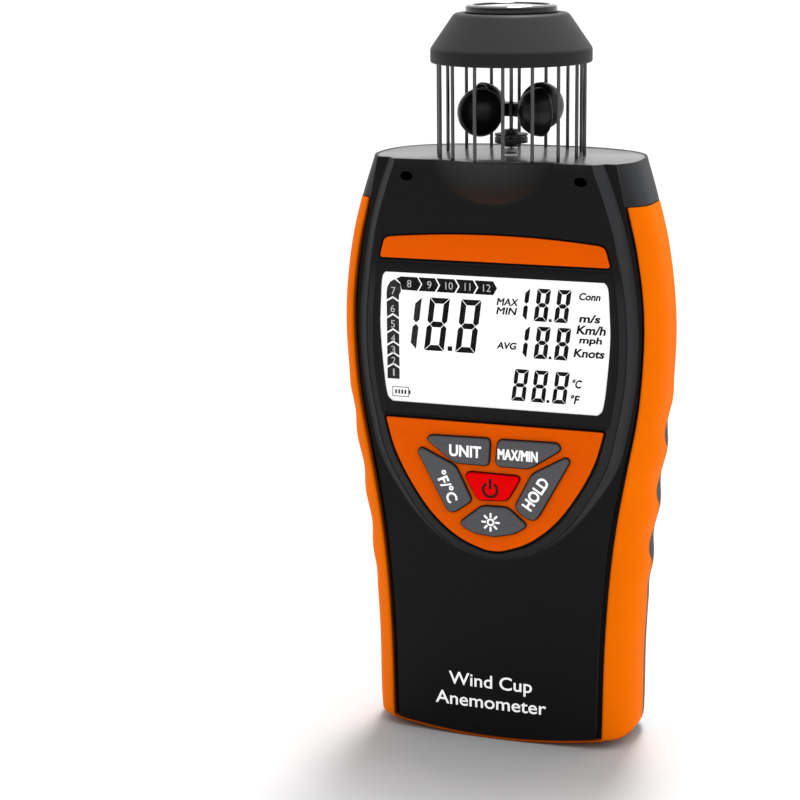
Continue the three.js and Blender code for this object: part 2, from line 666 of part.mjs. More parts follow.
function addCups() {
  const bore = SPINDLE_RADIUS + GAP;
  let hub = solid(disc(2.1, HUB_Z - ARM_HEIGHT / 2, HUB_Z + ARM_HEIGHT / 2, 20));
  for (let i = 0; i < CUP_COUNT; i += 1) {
    const turn = Math.PI / 4 + (i * Math.PI) / 2;
    const half = ARM_HEIGHT / 2;
    const arm = box(0.5, 4.0, -ARM_THICKNESS / 2, ARM_THICKNESS / 2, HUB_Z - half, HUB_Z + half);
    arm.rotateZ(turn);
    hub = hub.add(solid(arm));
    addPart(`cup_${i + 1}`, cupGeometry(turn), 0x1a1a1b, 0.3, 0);
  }
  hub = hub.subtract(solid(disc(bore, HUB_Z - 5, HUB_Z + 5, 12)));
  addPart("cup_hub", shell(hub), 0x1a1a1b, 0.35, 0);
}

// One bowl: a hollow half-sphere whose mouth faces the way the rotor's arm leads.
function cupGeometry(turn) {
  const inner = CUP_RADIUS - CUP_WALL;
  const points = [];
  for (let i = 0; i <= 7; i += 1) {
    const angle = -Math.PI / 2 + (i / 7) * (Math.PI / 2);
    points.push([CUP_RADIUS * Math.cos(angle), CUP_RADIUS * Math.sin(angle)]);
  }
  for (let i = 6; i >= 0; i -= 1) {
    const angle = -Math.PI / 2 + (i / 6) * (Math.PI / 2);
    points.push([inner * Math.cos(angle), inner * Math.sin(angle)]);
  }
  points[0][0] = 0;
  points[points.length - 1][0] = 0;
  const bowl = turned(points, 16);
  bowl.rotateX(-Math.PI / 2);
  bowl.translate(CUP_OFFSET, CUP_LEAD, HUB_Z);
  bowl.rotateZ(turn);
  return bowl;
}

function addMagnet() {
  const bore = SPINDLE_RADIUS + GAP;
  const z = DECK_Z;
  const upper = [
    [bore, z + 4.75], [MAGNET_DISC_RADIUS, z + 4.75], [MAGNET_DISC_RADIUS, z + 5.3],
    [BOSS_RADIUS, z + 5.3], [BOSS_RADIUS, z + 6.4], [bore, z + 6.4], [bore, z + 4.75],
  ];
  const lower = [
    [bore, z + 2], [BOSS_RADIUS, z + 2], [BOSS_RADIUS, z + 3], [MAGNET_DISC_RADIUS, z + 3],
    [MAGNET_DISC_RADIUS, z + 4.45], [3.8, z + 4.45], [3.8, z + 3.4], [bore, z + 3.4], [bore, z + 2],
  ];
  addPart("magnet_carrier_upper", turned(upper, 18), 0x1d1d1e, 0.4, 0);
  addPart("magnet_ring", ring(bore, 3.5, z + 3.7, z + 4.4, 18), 0xa9adb2, 0.3, 0.7);
  addPart("magnet_carrier_lower", turned(lower, 18), 0x1d1d1e, 0.4, 0);
}

addFrontCasing();
addGripBoot();
addRearCasing();
addTopDeck();
addFrontPanels();
addKeys();
addElectronics();
addBatteryDoor();
addScrews();
addCage();
addCap();
addCompass();
addLowerBearing();
addSpindle();
addCups();
addMagnet();

export default object;
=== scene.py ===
"""Looks for the handheld weather meter: a cup anemometer under a compass, on a gripped case.

Shapes are in millimetres in the frame of the CAD part (+Z up, the front faces -Y) and are scaled
to metres when a mesh is made.
"""

import math

import bmesh
import bpy
import numpy as np
from mathutils import Matrix, Vector


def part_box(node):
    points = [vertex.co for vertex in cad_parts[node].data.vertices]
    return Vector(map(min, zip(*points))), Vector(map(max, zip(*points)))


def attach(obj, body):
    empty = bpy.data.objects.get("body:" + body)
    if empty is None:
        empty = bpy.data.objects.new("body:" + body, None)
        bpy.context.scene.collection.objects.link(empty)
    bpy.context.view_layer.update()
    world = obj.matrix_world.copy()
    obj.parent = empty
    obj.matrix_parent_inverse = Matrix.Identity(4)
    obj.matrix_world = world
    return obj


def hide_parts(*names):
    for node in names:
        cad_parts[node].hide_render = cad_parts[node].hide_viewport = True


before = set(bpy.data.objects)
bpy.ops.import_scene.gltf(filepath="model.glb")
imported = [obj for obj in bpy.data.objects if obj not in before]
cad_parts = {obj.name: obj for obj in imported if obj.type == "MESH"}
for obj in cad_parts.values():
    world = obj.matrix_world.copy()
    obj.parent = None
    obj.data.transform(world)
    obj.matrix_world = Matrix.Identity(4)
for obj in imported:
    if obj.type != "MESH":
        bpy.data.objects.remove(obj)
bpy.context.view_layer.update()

MM = 0.001


def corner(node, end):
    """One corner of a CAD node's box, in millimetres: end 0 is the lowest, 1 the highest."""
    return [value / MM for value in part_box(node)[end]]


def middle_of(node):
    """The middle of a CAD node's box, in millimetres."""
    return [(low + high) / 2 for low, high in zip(corner(node, 0), corner(node, 1))]


# Places and sizes read from the frame.
DECK_Z = corner("top_deck", 1)[2]
GRIP_TOP_Z = corner("grip_boot", 1)[2]
REAR_Y = corner("rear_casing", 1)[1]
CAP_Z = corner("cage_cap", 0)[2]
CAP_TOP_Z = corner("cage_cap", 1)[2]
CAP_RADIUS = corner("cage_cap", 1)[0]
COMPASS_TOP_Z = corner("compass_bezel", 1)[2]
COMPASS_RADIUS = corner("compass_bezel", 1)[0]
CARD_Z = corner("compass_card", 1)[2] - 0.7
HUB_Z = middle_of("cup_hub")[2]
KEY_FRONT_Y = corner("key_unit", 0)[1]
WINDOW_LOW_Z = corner("display_window", 0)[2]
WINDOW_HIGH_Z = corner("display_window", 1)[2]

# The body's plan: where its halves meet, how it is rounded and its outlines against height.
SPLIT_Y = 3.0
SPLIT_GAP = 0.12
SIDE_END_Y = 9.0
REAR_ROUNDNESS = 2.5
BASE_CORNER = 2.2
BASE_LIFT = 2.2
LIFT_REACH = 28.5
SKIN = 0.8
BOOT_ROWS = 126
SIDE_POINTS = [
    (0, 34.8), (4, 35.4), (26, 35.7), (46, 36.9), (66, 39.1), (88, 41.7),
    (106, 42.8), (118, 42.3), (131, 40.5), (142, 37.8), (152, 34.6),
]
GRIP_EDGE_POINTS = [
    (0, 28.5), (28, 29.1), (52, 30.9), (76, 34.4), (92, 36.9),
    (107, 37.9), (118, 37.6), (130, 35.9), (142, 33.1), (152, 31.0),
]
WIDEST_Y_POINTS = [(0, 1.3), (60, 0.9), (100, -2.3), (130, -2.9), (152, -1.2)]
EDGE_Y_POINTS = [(0, -12.8), (20, -12.8), (75, -13.4), (142, -13.2), (152, -12.4)]

# The raised frame's foot, from the deck down round the keys, and the frame's bands.
FOOT_POINTS = [
    (27.9, 152), (30.8, 144), (34.2, 132), (36.3, 118), (36.9, 107), (36.3, 96), (34.1, 83.2),
    (32.0, 75), (27.3, 65.8), (20.6, 56.5), (12.4, 49.8), (5.0, 46.9), (0, 46.0),
]
OUTER_BAND = 2.45
GROOVE = 0.3
INNER_BAND = 2.2
FRAME_WIDTH = OUTER_BAND + GROOVE + INNER_BAND

# How far forward the front stands: its flat, the edge of the plain part and the frame's foot, and how
# much each rises toward the deck.
FLAT_Y = 15.0
FLAT_RISE = 1.0
PLAIN_Y = 12.8
PLAIN_CROWN = 1.4
PLAIN_DIP = 0.8
PLAIN_RISE = 0.9
FOOT_Y = 12.05
FOOT_RISE = 1.3
BAND_STEP = 0.9
GROOVE_DEPTH = 0.3

# Front panels: half outlines of the keypad panel and the display, from the bottom up.
PANEL_POINTS = [
    (0, 51.7), (2.4, 51.9), (9.4, 54.7), (16.4, 60.4), (22.5, 68.8), (26.7, 77.1), (28.9, 84.8),
]
PANEL_TOP_Z = 85.2
LCD_POINTS = [
    (27.2, 89.4), (28.5, 90.6), (29.5, 97), (30.35, 108.5), (30.1, 116), (29.6, 121.9), (28.75, 123),
]

# Finger grips on the sides.
GRIP_PITCH = 15.2
GRIP_SCALLOP_Z = 66.8
GRIP_RIPPLE = 0.4
GRIP_BUMP_DROP = 4.2
GRIP_TONGUE = 3.4

# Cage and cups.
CAGE_RADIUS = 18.5
ROD_RADIUS = 0.45
ROD_COUNT = 16
CUP_RADIUS = 6.1
CUP_WALL = 0.55
CUP_OFFSET = 9.95
CUP_LEAD = 3.27
CUP_COUNT = 4

# The dome under the cage is part of a sphere. Its painted shading goes from the deck to its rim, and a
# painted brown reflection of the accent bar reaches up from the rim's lowest point.
DOME_RADIUS = 31.7
DOME_Y = 10.9
DOME_Z = 158.9
DOME_RIM = 17.4
DOME_PAINTED_REFLECTION_REACH = 5
DOME_PAINTED_SHADES = [
    (0, (50, 50, 50)), (0.3, (42, 42, 42)), (0.7, (30, 30, 30)), (0.96, (18, 17, 16)), (1, (12, 11, 10)),
]

# The two vents beside the dome.
VENT_X = 22.6
VENT_Z = 147.7

# A dark channel between the front and the grip: cut from the front low down, from the grip higher up.
CHANNEL_WIDTH = 1.2
CHANNEL_OUT = 0.45
CHANNEL_DEPTH = 1.8
CHANNEL_LOW_Z = 60
CHANNEL_HIGH_Z = 88

# Light: how bright the room is in front, to the left and to the right, and the sun.
FRONT_DIM = 0.35
LEFT_LIGHT = 0.85
RIGHT_LIGHT = 1.2
SUN_POWER = 3.3
SUN_AZIMUTH = -6
SUN_HEIGHTS = (54, 62, 70, 78)
SUN_ANGLE = 13

# The camera's place, its angles in degrees and its focal length.
CAMERA_PLACE = (172.09, -540.01, 220.63)
CAMERA_TURN_DOWN_ROLL = (20.588, 13.136, 0.622)
CAMERA_LENS = 100.897


# ---------------------------------------------------------------- curves and numbers


def smooth(value, low, high):
    """Goes from 0 at low to 1 at high, with soft ends."""
    t = np.clip((value - low) / (high - low), 0, 1)
    return t * t * (3 - 2 * t)


def profile(points):
    """A smooth curve through [height, value] points."""
    xs = np.array([p[0] for p in points], float)
    ys = np.array([p[1] for p in points], float)
    before = np.maximum(np.arange(len(xs)) - 1, 0)
    after = np.minimum(np.arange(len(xs)) + 1, len(xs) - 1)
    slopes = (ys[after] - ys[before]) / (xs[after] - xs[before])

    def curve(z):
        z = np.clip(z, xs[0], xs[-1])
        k = np.clip(np.searchsorted(xs, z, side="right") - 1, 0, len(xs) - 2)
        span = xs[k + 1] - xs[k]
        t = (z - xs[k]) / span
        rise = ys[k] * (2 * t**3 - 3 * t**2 + 1) + ys[k + 1] * (3 * t**2 - 2 * t**3)
        bend = slopes[k] * (t**3 - 2 * t**2 + t) + slopes[k + 1] * (t**3 - t**2)
        return rise + bend * span

    return curve


def even(points, count):
    """Points of a polyline spaced evenly along its length."""
    points = np.asarray(points, float)
    lengths = np.r_[0, np.cumsum(np.linalg.norm(np.diff(points, axis=0), axis=1))]
    places = np.linspace(0, lengths[-1], count)
    return np.stack([np.interp(places, lengths, points[:, i]) for i in range(points.shape[1])], 1)


def through(points, count):
    """A smooth open curve through 2-D points, spaced evenly."""
    points = np.asarray(points, float)
    lengths = np.r_[0, np.cumsum(np.linalg.norm(np.diff(points, axis=0), axis=1))]
    places = np.linspace(0, lengths[-1], 1200)
    columns = [profile(list(zip(lengths, points[:, i])))(places) for i in range(points.shape[1])]
    return even(np.stack(columns, 1), count)


def left_normals(points):
    """Unit normals to the left of a 2-D curve's direction."""
    step = np.gradient(points, axis=0)
    step /= np.linalg.norm(step, axis=1)[:, None]
    return np.stack([-step[:, 1], step[:, 0]], 1)


def corner_curve(before, here, after, radius, steps):
    """A small curve in place of the corner at here, between its two neighbours."""
    before = before - here
    after = after - here
    start = here + before / np.linalg.norm(before) * min(radius, 0.45 * np.linalg.norm(before))
    end = here + after / np.linalg.norm(after) * min(radius, 0.45 * np.linalg.norm(after))
    return [(1 - t) ** 2 * start + 2 * t * (1 - t) * here + t**2 * end for t in np.linspace(0, 1, steps)]


def rounded(points, radius, steps=5):
    """A closed outline with its corners rounded."""
    points = np.asarray(points, float)
    outline = []
    for i, here in enumerate(points):
        outline += corner_curve(points[i - 1], here, points[(i + 1) % len(points)], radius, steps)
    return np.array(outline)


def inset(outline, distance):
    """A closed counter-clockwise outline moved inward by a distance."""
    before = outline - np.roll(outline, 1, axis=0)
    after = np.roll(outline, -1, axis=0) - outline
    before /= np.maximum(np.linalg.norm(before, axis=1), 1e-9)[:, None]
    after /= np.maximum(np.linalg.norm(after, axis=1), 1e-9)[:, None]
    first = np.stack([-before[:, 1], before[:, 0]], 1)
    second = np.stack([-after[:, 1], after[:, 0]], 1)
    spread = 1 + np.sum(first * second, axis=1)
    return outline + distance * (first + second) / np.maximum(spread, 0.4)[:, None]


def counter_clockwise(outline):
    """The outline, turned round if it runs clockwise."""
    outline = np.asarray(outline, float)
    x, z = outline[:, 0], outline[:, 1]
    area = np.sum(x * np.roll(z, -1) - z * np.roll(x, -1))
    return outline if area > 0 else outline[::-1]


def both_sides(half):
    """A closed outline from the points of its right half, listed from the bottom up."""
    half = np.asarray(half, float)
    left = half[::-1] * [-1, 1]
    keep = np.abs(left[:, 0]) > 1e-6
    return counter_clockwise(np.concatenate([half, left[keep]]))


def box_outline(left, low, right, high):
    """A rectangle's four corners."""
    return [(left, low), (right, low), (right, high), (left, high)]


def bar_outline(origin, start, end, across):
    """A straight bar between two places seen from an origin, as wide as twice across."""
    return [origin + start - across, origin + end - across, origin + end + across, origin + start + across]


def oval(x, z, half_x, half_z, count=40):
    """A closed oval round a place."""
    turn = np.linspace(0, 2 * math.pi, count + 1)[:-1]
    return np.stack([x + half_x * np.cos(turn), z + half_z * np.sin(turn)], 1)


side_half = profile(SIDE_POINTS)
grip_edge = profile(GRIP_EDGE_POINTS)
widest_y = profile(WIDEST_Y_POINTS)
edge_y = profile(EDGE_Y_POINTS)


# ---------------------------------------------------------------- the body's surfaces


def scallop(z):
    """How far a finger tongue of the rear casing reaches forward at a height, from 0 to 1."""
    nearest = np.min([np.abs(z - GRIP_SCALLOP_Z - k * GRIP_PITCH) for k in (-1, 0, 1)], axis=0)
    nearest = np.minimum(nearest, GRIP_PITCH / 2)
    return np.maximum(0, np.cos(2 * np.pi * nearest / GRIP_PITCH) + 0.15) / 1.15


def ripple(z):
    """How far the finger bumps widen the sides."""
    reach = np.clip((GRIP_PITCH * 2 - np.abs(z - GRIP_SCALLOP_Z)) / 8, 0, 1)
    return GRIP_RIPPLE * reach * np.cos(2 * np.pi * (z - GRIP_SCALLOP_Z + GRIP_BUMP_DROP) / GRIP_PITCH)


def base_round(z):
    """How far the sides draw in near the base."""
    rise = np.clip(BASE_CORNER - z, 0, BASE_CORNER)
    return BASE_CORNER - np.sqrt(BASE_CORNER**2 - rise**2)


def lifted(points):
    """The base lifts toward its corners."""
    reach = np.clip(np.abs(points[..., 0]) / LIFT_REACH, 0, 1.03)
    fade = np.clip(1 - points[..., 2] / 30, 0, 1)
    points[..., 2] += BASE_LIFT * reach**2 * fade**1.5
    return points


def widest(z):
    """The body's half-width at its widest, with the finger bumps and the rounded base."""
    return side_half(z) + ripple(z) - base_round(z)


def plane_height(z):
    """How far the flat of the front stands forward of y = 0."""
    return FLAT_Y + FLAT_RISE * np.clip((z - 126) / 26, 0, 1)


def front_height(x, z, inward):
    """The front casing's surface; inward is the distance inside the frame's foot."""
    edge = np.maximum(grip_edge(z), 1)
    crown = PLAIN_CROWN * (1 - np.clip(np.abs(x) / edge, 0, 1) ** 2)
    outside = PLAIN_Y + crown - PLAIN_DIP * smooth(z, 58, 84) + PLAIN_RISE * smooth(z, 132, 150)
    foot = FOOT_Y + FOOT_RISE * smooth(z, 122, 150)
    plane = plane_height(z)
    step = BAND_STEP * (1 - smooth(z, 116, 134))
    t = np.clip(inward / OUTER_BAND, 0, 1)
    outer = foot + (plane - step - foot) * (t + 0.12 * np.sin(np.pi * t))
    groove_depth = GROOVE_DEPTH * (1 - smooth(z, 122, 136))
    across = np.clip((inward - OUTER_BAND) / GROOVE, 0, 1)
    inner_t = np.clip((inward - OUTER_BAND - GROOVE) / INNER_BAND, 0, 1)
    inner = plane - step + step * inner_t - groove_depth * np.sin(np.pi * across)
    band = np.where(inward < OUTER_BAND, outer, inner)
    raised = np.where(inward < FRAME_WIDTH, band, plane)
    surface = np.where(inward >= FRAME_WIDTH, raised, higher(outside, raised, 0.15**2))
    under = np.maximum(DOME_RADIUS**2 - x**2 - (z - DOME_Z) ** 2, 0)
    dome = np.where(inward > 2, np.sqrt(under) - DOME_Y, 0)
    return higher(surface, dome, 0.02)


def higher(first, second, blend):
    """The higher of two surfaces, with a soft valley where they meet."""
    return 0.5 * (first + second + np.sqrt((first - second) ** 2 + blend))


def side_section(z, y):
    """The body's half-width at a height and depth, from the grip edge to the back."""
    half = widest(z)
    middle = widest_y(z)
    near = edge_y(z)
    rear = REAR_Y - base_round(z)
    start = grip_edge(z)
    t = np.clip((y - near) / (middle - near), 0, 1)
    front = start + (half - start) * (1 - (1 - t) ** 3)
    back = np.clip((y - middle) / (rear - middle), 0, 1)
    behind = half * (1 - back**REAR_ROUNDNESS) ** (1 / REAR_ROUNDNESS)
    return np.where(y < middle, front, behind)


def channel_in(z):
    """How far the front's border stands inside the grip's edge line."""
    return 0.35 + CHANNEL_WIDTH * (1 - smooth(z, CHANNEL_LOW_Z, CHANNEL_HIGH_Z))


def channel_out(z):
    """How far the grip's edge stands outside that line."""
    return CHANNEL_OUT * smooth(z, CHANNEL_LOW_Z, CHANNEL_HIGH_Z)


# ---------------------------------------------------------------- meshes


def new_object(name, vertices, faces, scale=MM):
    """A mesh in the scene from points in millimetres and faces."""
    mesh = bpy.data.meshes.new(name)
    mesh.from_pydata((np.asarray(vertices, float) * scale).tolist(), [], faces)
    obj = bpy.data.objects.new(name, mesh)
    bpy.context.scene.collection.objects.link(obj)
    return obj


def tidy_mesh(obj, merge=2e-6):
    """Merges points that meet, drops collapsed faces and turns all faces outward."""
    work = bmesh.new()
    work.from_mesh(obj.data)
    bmesh.ops.remove_doubles(work, verts=work.verts, dist=merge)
    bmesh.ops.dissolve_degenerate(work, dist=1e-7, edges=work.edges)
    bmesh.ops.recalc_face_normals(work, faces=work.faces)
    work.to_mesh(obj.data)
    work.free()
    return obj


def applied(obj):
    """The object's modifiers become part of its mesh."""
    graph = bpy.context.evaluated_depsgraph_get()
    mesh = bpy.data.meshes.new_from_object(obj.evaluated_get(graph))
    obj.modifiers.clear()
    obj.data = mesh
    return obj


def quads(rows, columns, closed=False):
    """The faces between the points of a grid; closed joins its last column to its first."""
    faces = []
    last = columns if closed else columns - 1
    for r in range(rows - 1):
        for c in range(last):
            d = (c + 1) % columns
            faces.append((r * columns + c, r * columns + d, (r + 1) * columns + d, (r + 1) * columns + c))
    return faces


def sheet(name, grid, thickness):
    """A thin closed shell whose right half's outer face is a grid of points; the wall grows inward."""
    rows, columns = grid.shape[:2]
    vertices = grid.reshape(-1, 3)
    count = len(vertices)
    faces = quads(rows, columns)
    faces = faces + [tuple(i + count for i in reversed(face)) for face in faces]
    vertices = np.concatenate([vertices, vertices * [-1, 1, 1]])
    obj = new_object(name, vertices, faces)
    tidy_mesh(obj)
    middle = Vector((0, SPLIT_Y, 75)) * MM
    facing = sum((p.center - middle).dot(p.normal) * p.area for p in obj.data.polygons)
    if facing < 0:
        obj.data.flip_normals()
    solidify = obj.modifiers.new("wall", "SOLIDIFY")
    solidify.thickness = thickness * MM
    solidify.offset = -1
    solidify.use_even_offset = True
    return applied(obj)


def plate(name, outline, front, back, bevel=0.15, steps=3, place=None):
    """A plate that faces forward, with a rounded front edge; place maps (x, height, z) to a point."""
    outline = counter_clockwise(outline)
    rings = [(outline, back), (outline, front - bevel)]
    for k in range(1, steps + 1):
        angle = k / steps * math.pi / 2
        ring_outline = inset(outline, bevel * (1 - math.cos(angle)))
        rings.append((ring_outline, front - bevel + bevel * math.sin(angle)))
    place = place or flat_front
    vertices = np.concatenate([place(ring[:, 0], height, ring[:, 1]) for ring, height in rings])
    count = len(outline)
    faces = quads(len(rings), count, closed=True)
    faces.append(tuple(range(count - 1, -1, -1)))
    faces.append(tuple((len(rings) - 1) * count + i for i in range(count)))
    return tidy_mesh(new_object(name, vertices, faces), merge=1e-7)


def flat_front(x, height, z):
    """A point on the front, a height above its flat."""
    return np.stack([x, -(plane_height(z) + height), z], -1)


def upright(x, height, z):
    """A point at a plain distance forward of y = 0."""
    return np.stack([x, np.full_like(x, -height), z], -1)


def lathe(name, points, segments=96, axis_place=None):
    """A turned shape about Z from [radius, height] points; it closes on the axis or on itself."""
    points = np.asarray(points, float)
    closed = points[0][0] > 1e-6
    angles = np.arange(segments) / segments * 2 * math.pi
    radius, height = points[:, 0], points[:, 1]
    x = radius[:, None] * np.sin(angles)[None]
    y = -radius[:, None] * np.cos(angles)[None]
    z = np.repeat(height[:, None], segments, 1)
    vertices = np.stack([x, y, z], -1).reshape(-1, 3)
    faces = quads(len(points), segments, closed=True)
    if closed:
        top = (len(points) - 1) * segments
        for c in range(segments):
            d = (c + 1) % segments
            faces.append((top + c, top + d, d, c))
    obj = new_object(name, vertices, faces)
    if axis_place is not None:
        obj.data.transform(axis_place)
    return tidy_mesh(obj, merge=1e-7)


def soft_profile(points, radius, steps=4):
    """A lathe profile with its inner corners rounded."""
    points = np.asarray(points, float)
    path = [points[0]]
    for before, here, after in zip(points, points[1:], points[2:]):
        path += corner_curve(before, here, after, radius, steps)
    return path + [points[-1]]


def cut(obj, *cutters):
    """Cuts holes in a piece and removes the cutters."""
    for cutter in cutters:
        boolean = obj.modifiers.new("cut", "BOOLEAN")
        boolean.operation = "DIFFERENCE"
        boolean.solver = "MANIFOLD"
        boolean.object = cutter
    applied(obj)
    for cutter in cutters:
        bpy.data.objects.remove(cutter)
    return obj


def join(name, objects):
    """Several meshes as one object."""
    vertices, faces = [], []
    for obj in objects:
        start = len(vertices)
        vertices += [tuple(obj.matrix_world @ v.co) for v in obj.data.vertices]
        faces += [tuple(i + start for i in p.vertices) for p in obj.data.polygons]
        bpy.data.objects.remove(obj)
    return new_object(name, vertices, faces, scale=1)


def finish(obj, material, body="casing", nodes=(), angle=32):
    """Shades a piece, gives it its material and ties it to the frame."""
    obj.data.materials.clear()
    obj.data.materials.append(material)
    obj.data.shade_smooth()
    obj.data.set_sharp_from_angle(angle=math.radians(angle))
    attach(obj, body)
    if nodes:
        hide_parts(*nodes)
    return obj


def moved(x, y, z):
    """A shift in millimetres."""
    return Matrix.Translation(Vector((x, y, z)) * MM)


# Turns a shape that stands on Z to face the back.
TOWARD_BACK = Matrix.Rotation(-math.pi / 2, 4, "X")


def cutter(outline, front, back, place=None):
    """A plain block with this outline, to cut with."""
    return plate("cutter", outline, front, back, bevel=0, steps=1, place=place)


def turned(name, path, segments, material, nodes=(), body="casing", place=None):
    """A finished piece turned from a path of [radius, height] points."""
    return finish(lathe(name, path, segments, place), material, body=body, nodes=nodes)


# ---------------------------------------------------------------- materials

# The output each kind of shader node gives when none is named.
NODE_OUTPUTS = {
    "AmbientOcclusion": "AO", "Bump": "Normal", "MapRange": "Result", "Math": "Value", "Mix": "Result",
    "NewGeometry": "Normal", "TexCoord": "Object", "TexNoise": "Fac", "ValToRGB": "Color",
}


def linear(red, green, blue):
    """An sRGB colour of 0 to 255 as linear values."""
    channels = [value / 255 for value in (red, green, blue)]
    return [c / 12.92 if c <= 0.04045 else ((c + 0.055) / 1.055) ** 2.4 for c in channels] + [1]


def feed(tree, socket, value):
    """Links a node's output to an input, or sets a plain value on it."""
    if isinstance(value, bpy.types.NodeSocket):
        tree.links.new(value, socket)
    else:
        socket.default_value = value


def add_node(tree, kind, inputs=(), output=None, **settings):
    """Adds a shader node, sets or links its inputs and gives one of its outputs."""
    node = tree.nodes.new("ShaderNode" + kind)
    for name, value in settings.items():
        setattr(node, name, value)
    for name, value in dict(inputs).items():
        feed(tree, node.inputs[name], value)
    return node.outputs[output or NODE_OUTPUTS[kind]]


def mapped(tree, value, start=0.0, end=1.0, low=0.0, high=1.0):
    """A value that goes from start to end, mapped to go from low to high."""
    inputs = {"Value": value, "From Min": start, "From Max": end, "To Min": low, "To Max": high}
    return add_node(tree, "MapRange", inputs)


def mixed(tree, first, second, amount, blend="MIX"):
    """Two colours, mixed by an amount."""
    inputs = {"A": first, "B": second, "Factor": amount}
    return add_node(tree, "Mix", inputs, data_type="RGBA", blend_type=blend)


def part_of(tree, vector, axis):
    """A vector's X, Y or Z."""
    return add_node(tree, "SeparateXYZ", {"Vector": vector}, axis)


def ramped(tree, amount, stops):
    """A colour picked from (position, colour) stops by an amount."""
    color = add_node(tree, "ValToRGB", {"Fac": amount})
    elements = color.node.color_ramp.elements
    for i, (position, stop_color) in enumerate(stops):
        element = elements[i] if i < 2 else elements.new(position)
        element.position = position
        element.color = linear(*stop_color)
    return color


def set_shader(material, inputs):
    """Sets or links inputs of a material's main shader."""
    tree = material.node_tree
    for name, value in inputs.items():
        feed(tree, tree.nodes["Principled BSDF"].inputs[name], value)


def crevice_mix(tree, color, amount):
    """Painted shade: darkens a colour beside raised neighbours, where less open sky reaches."""
    open_sky = add_node(tree, "AmbientOcclusion", {"Distance": 0.0045}, samples=8)
    return mixed(tree, color, mapped(tree, open_sky, 0.3, 1, 1 - amount, 1), 1, "MULTIPLY")


def moulded(
    name, color, rough=0.45, grain=900, bump=0.05, mottle=0.06, edge=0.25, metal=0.0, specular=0.15,
    painted_light_by_facing=None, painted_light_axis="Y", painted_light_range=(-0.99, -0.86), painted_crevice_shade=0.0,
):
    """Moulded plastic or metal: a fine grain, a slight mottle and lighter worn edges.

    The facing colour is painted light and shade: it shows where the surface's normal passes the facing
    range on the facing axis. The crevice amount paints shade into narrow places.
    """
    material = bpy.data.materials.new(name)
    material.use_nodes = True
    tree = material.node_tree
    place = add_node(tree, "TexCoord")
    fine = add_node(tree, "TexNoise", {"Vector": place, "Scale": grain, "Detail": 3})
    broad = add_node(tree, "TexNoise", {"Vector": place, "Scale": 60, "Detail": 4})
    base = color
    # Painted light and shade: faces turned one way take another colour.
    if painted_light_by_facing:
        facing = part_of(tree, add_node(tree, "NewGeometry"), painted_light_axis)
        base = mixed(tree, color, painted_light_by_facing, mapped(tree, facing, *painted_light_range))
    tint = mixed(tree, base, mapped(tree, broad, low=1 - mottle, high=1 + mottle), 1, "MULTIPLY")
    sharpness = add_node(tree, "NewGeometry", output="Pointiness")
    worn_color = [min(1, c * 2.2 + 0.02) for c in color[:3]] + [1]
    surface = mixed(tree, tint, worn_color, mapped(tree, sharpness, 0.53, 0.62, 0, edge))
    # Painted shade in narrow places.
    if painted_crevice_shade:
        surface = crevice_mix(tree, surface, painted_crevice_shade)
    set_shader(material, {
        "Metallic": metal,
        "Specular IOR Level": specular,
        "Base Color": surface,
        "Roughness": mapped(tree, broad, low=rough - 0.05, high=rough + 0.07),
        "Normal": add_node(tree, "Bump", {"Strength": bump, "Distance": 0.0001, "Height": fine}),
    })
    return material


def tint_dome(material):
    """Painted shade on the dome: pale at the deck, dark at its rim; a painted brown reflection of the accent
    bar.
    """
    tree = material.node_tree
    plain = tree.nodes["Principled BSDF"].inputs["Base Color"].links[0].from_socket
    place = add_node(tree, "TexCoord")
    inputs = {0: place, 1: (1, 0, 1), 2: (0, 0, -DOME_Z * MM)}
    flat = add_node(tree, "VectorMath", inputs, "Vector", operation="MULTIPLY_ADD")
    distance = add_node(tree, "VectorMath", {0: flat}, "Value", operation="LENGTH")
    # Painted shade from the deck out to the dome's rim.
    reach = mapped(tree, distance, (DOME_Z - DECK_Z) * MM, DOME_RIM * MM)
    shades = ramped(tree, reach, DOME_PAINTED_SHADES)
    # A painted brown reflection of the accent bar on the dome's low part.
    bottom = DOME_Z - DOME_RIM
    low = mapped(tree, part_of(tree, place, "Z"), (bottom + DOME_PAINTED_REFLECTION_REACH) * MM, bottom * MM)
    glow_and_painted_light = mixed(tree, shades, linear(46, 26, 13), low)
    inside = add_node(tree, "Math", {0: distance, 1: DOME_RIM * MM}, operation="LESS_THAN")
    set_shader(material, {"Base Color": mixed(tree, plain, glow_and_painted_light, inside)})


def printed(name, color, glow_and_painted_light=0.0):
    """Flat ink or a lit display face, with a faint mottle; a glow on plain print is painted light."""
    material = moulded(name, color, rough=0.5, bump=0.02, mottle=0.03, edge=0)
    if glow_and_painted_light:
        set_shader(material, {"Emission Color": color, "Emission Strength": glow_and_painted_light})
    return material


def clear(name):
    """A clear pane that only its reflections show."""
    material = moulded(name, linear(20, 22, 24), rough=0.04, bump=0, mottle=0.01, edge=0, specular=0.2)
    set_shader(material, {"Alpha": 0.05})
    return material


def glass(name):
    """A polished lens that mirrors the room at low angles."""
    material = moulded(name, linear(250, 250, 250), rough=0.0, bump=0, mottle=0.005, edge=0, specular=0.5)
    set_shader(material, {"Transmission Weight": 1, "Coat Weight": 1, "Coat IOR": 2.2, "Coat Roughness": 0})
    return material


def polish_top(material):
    """A polished coat on the faces that look up."""
    tree = material.node_tree
    amount = mapped(tree, part_of(tree, add_node(tree, "NewGeometry"), "Z"), 0.5, 0.9)
    set_shader(material, {"Coat Weight": amount, "Coat IOR": 3, "Coat Roughness": 0.02})


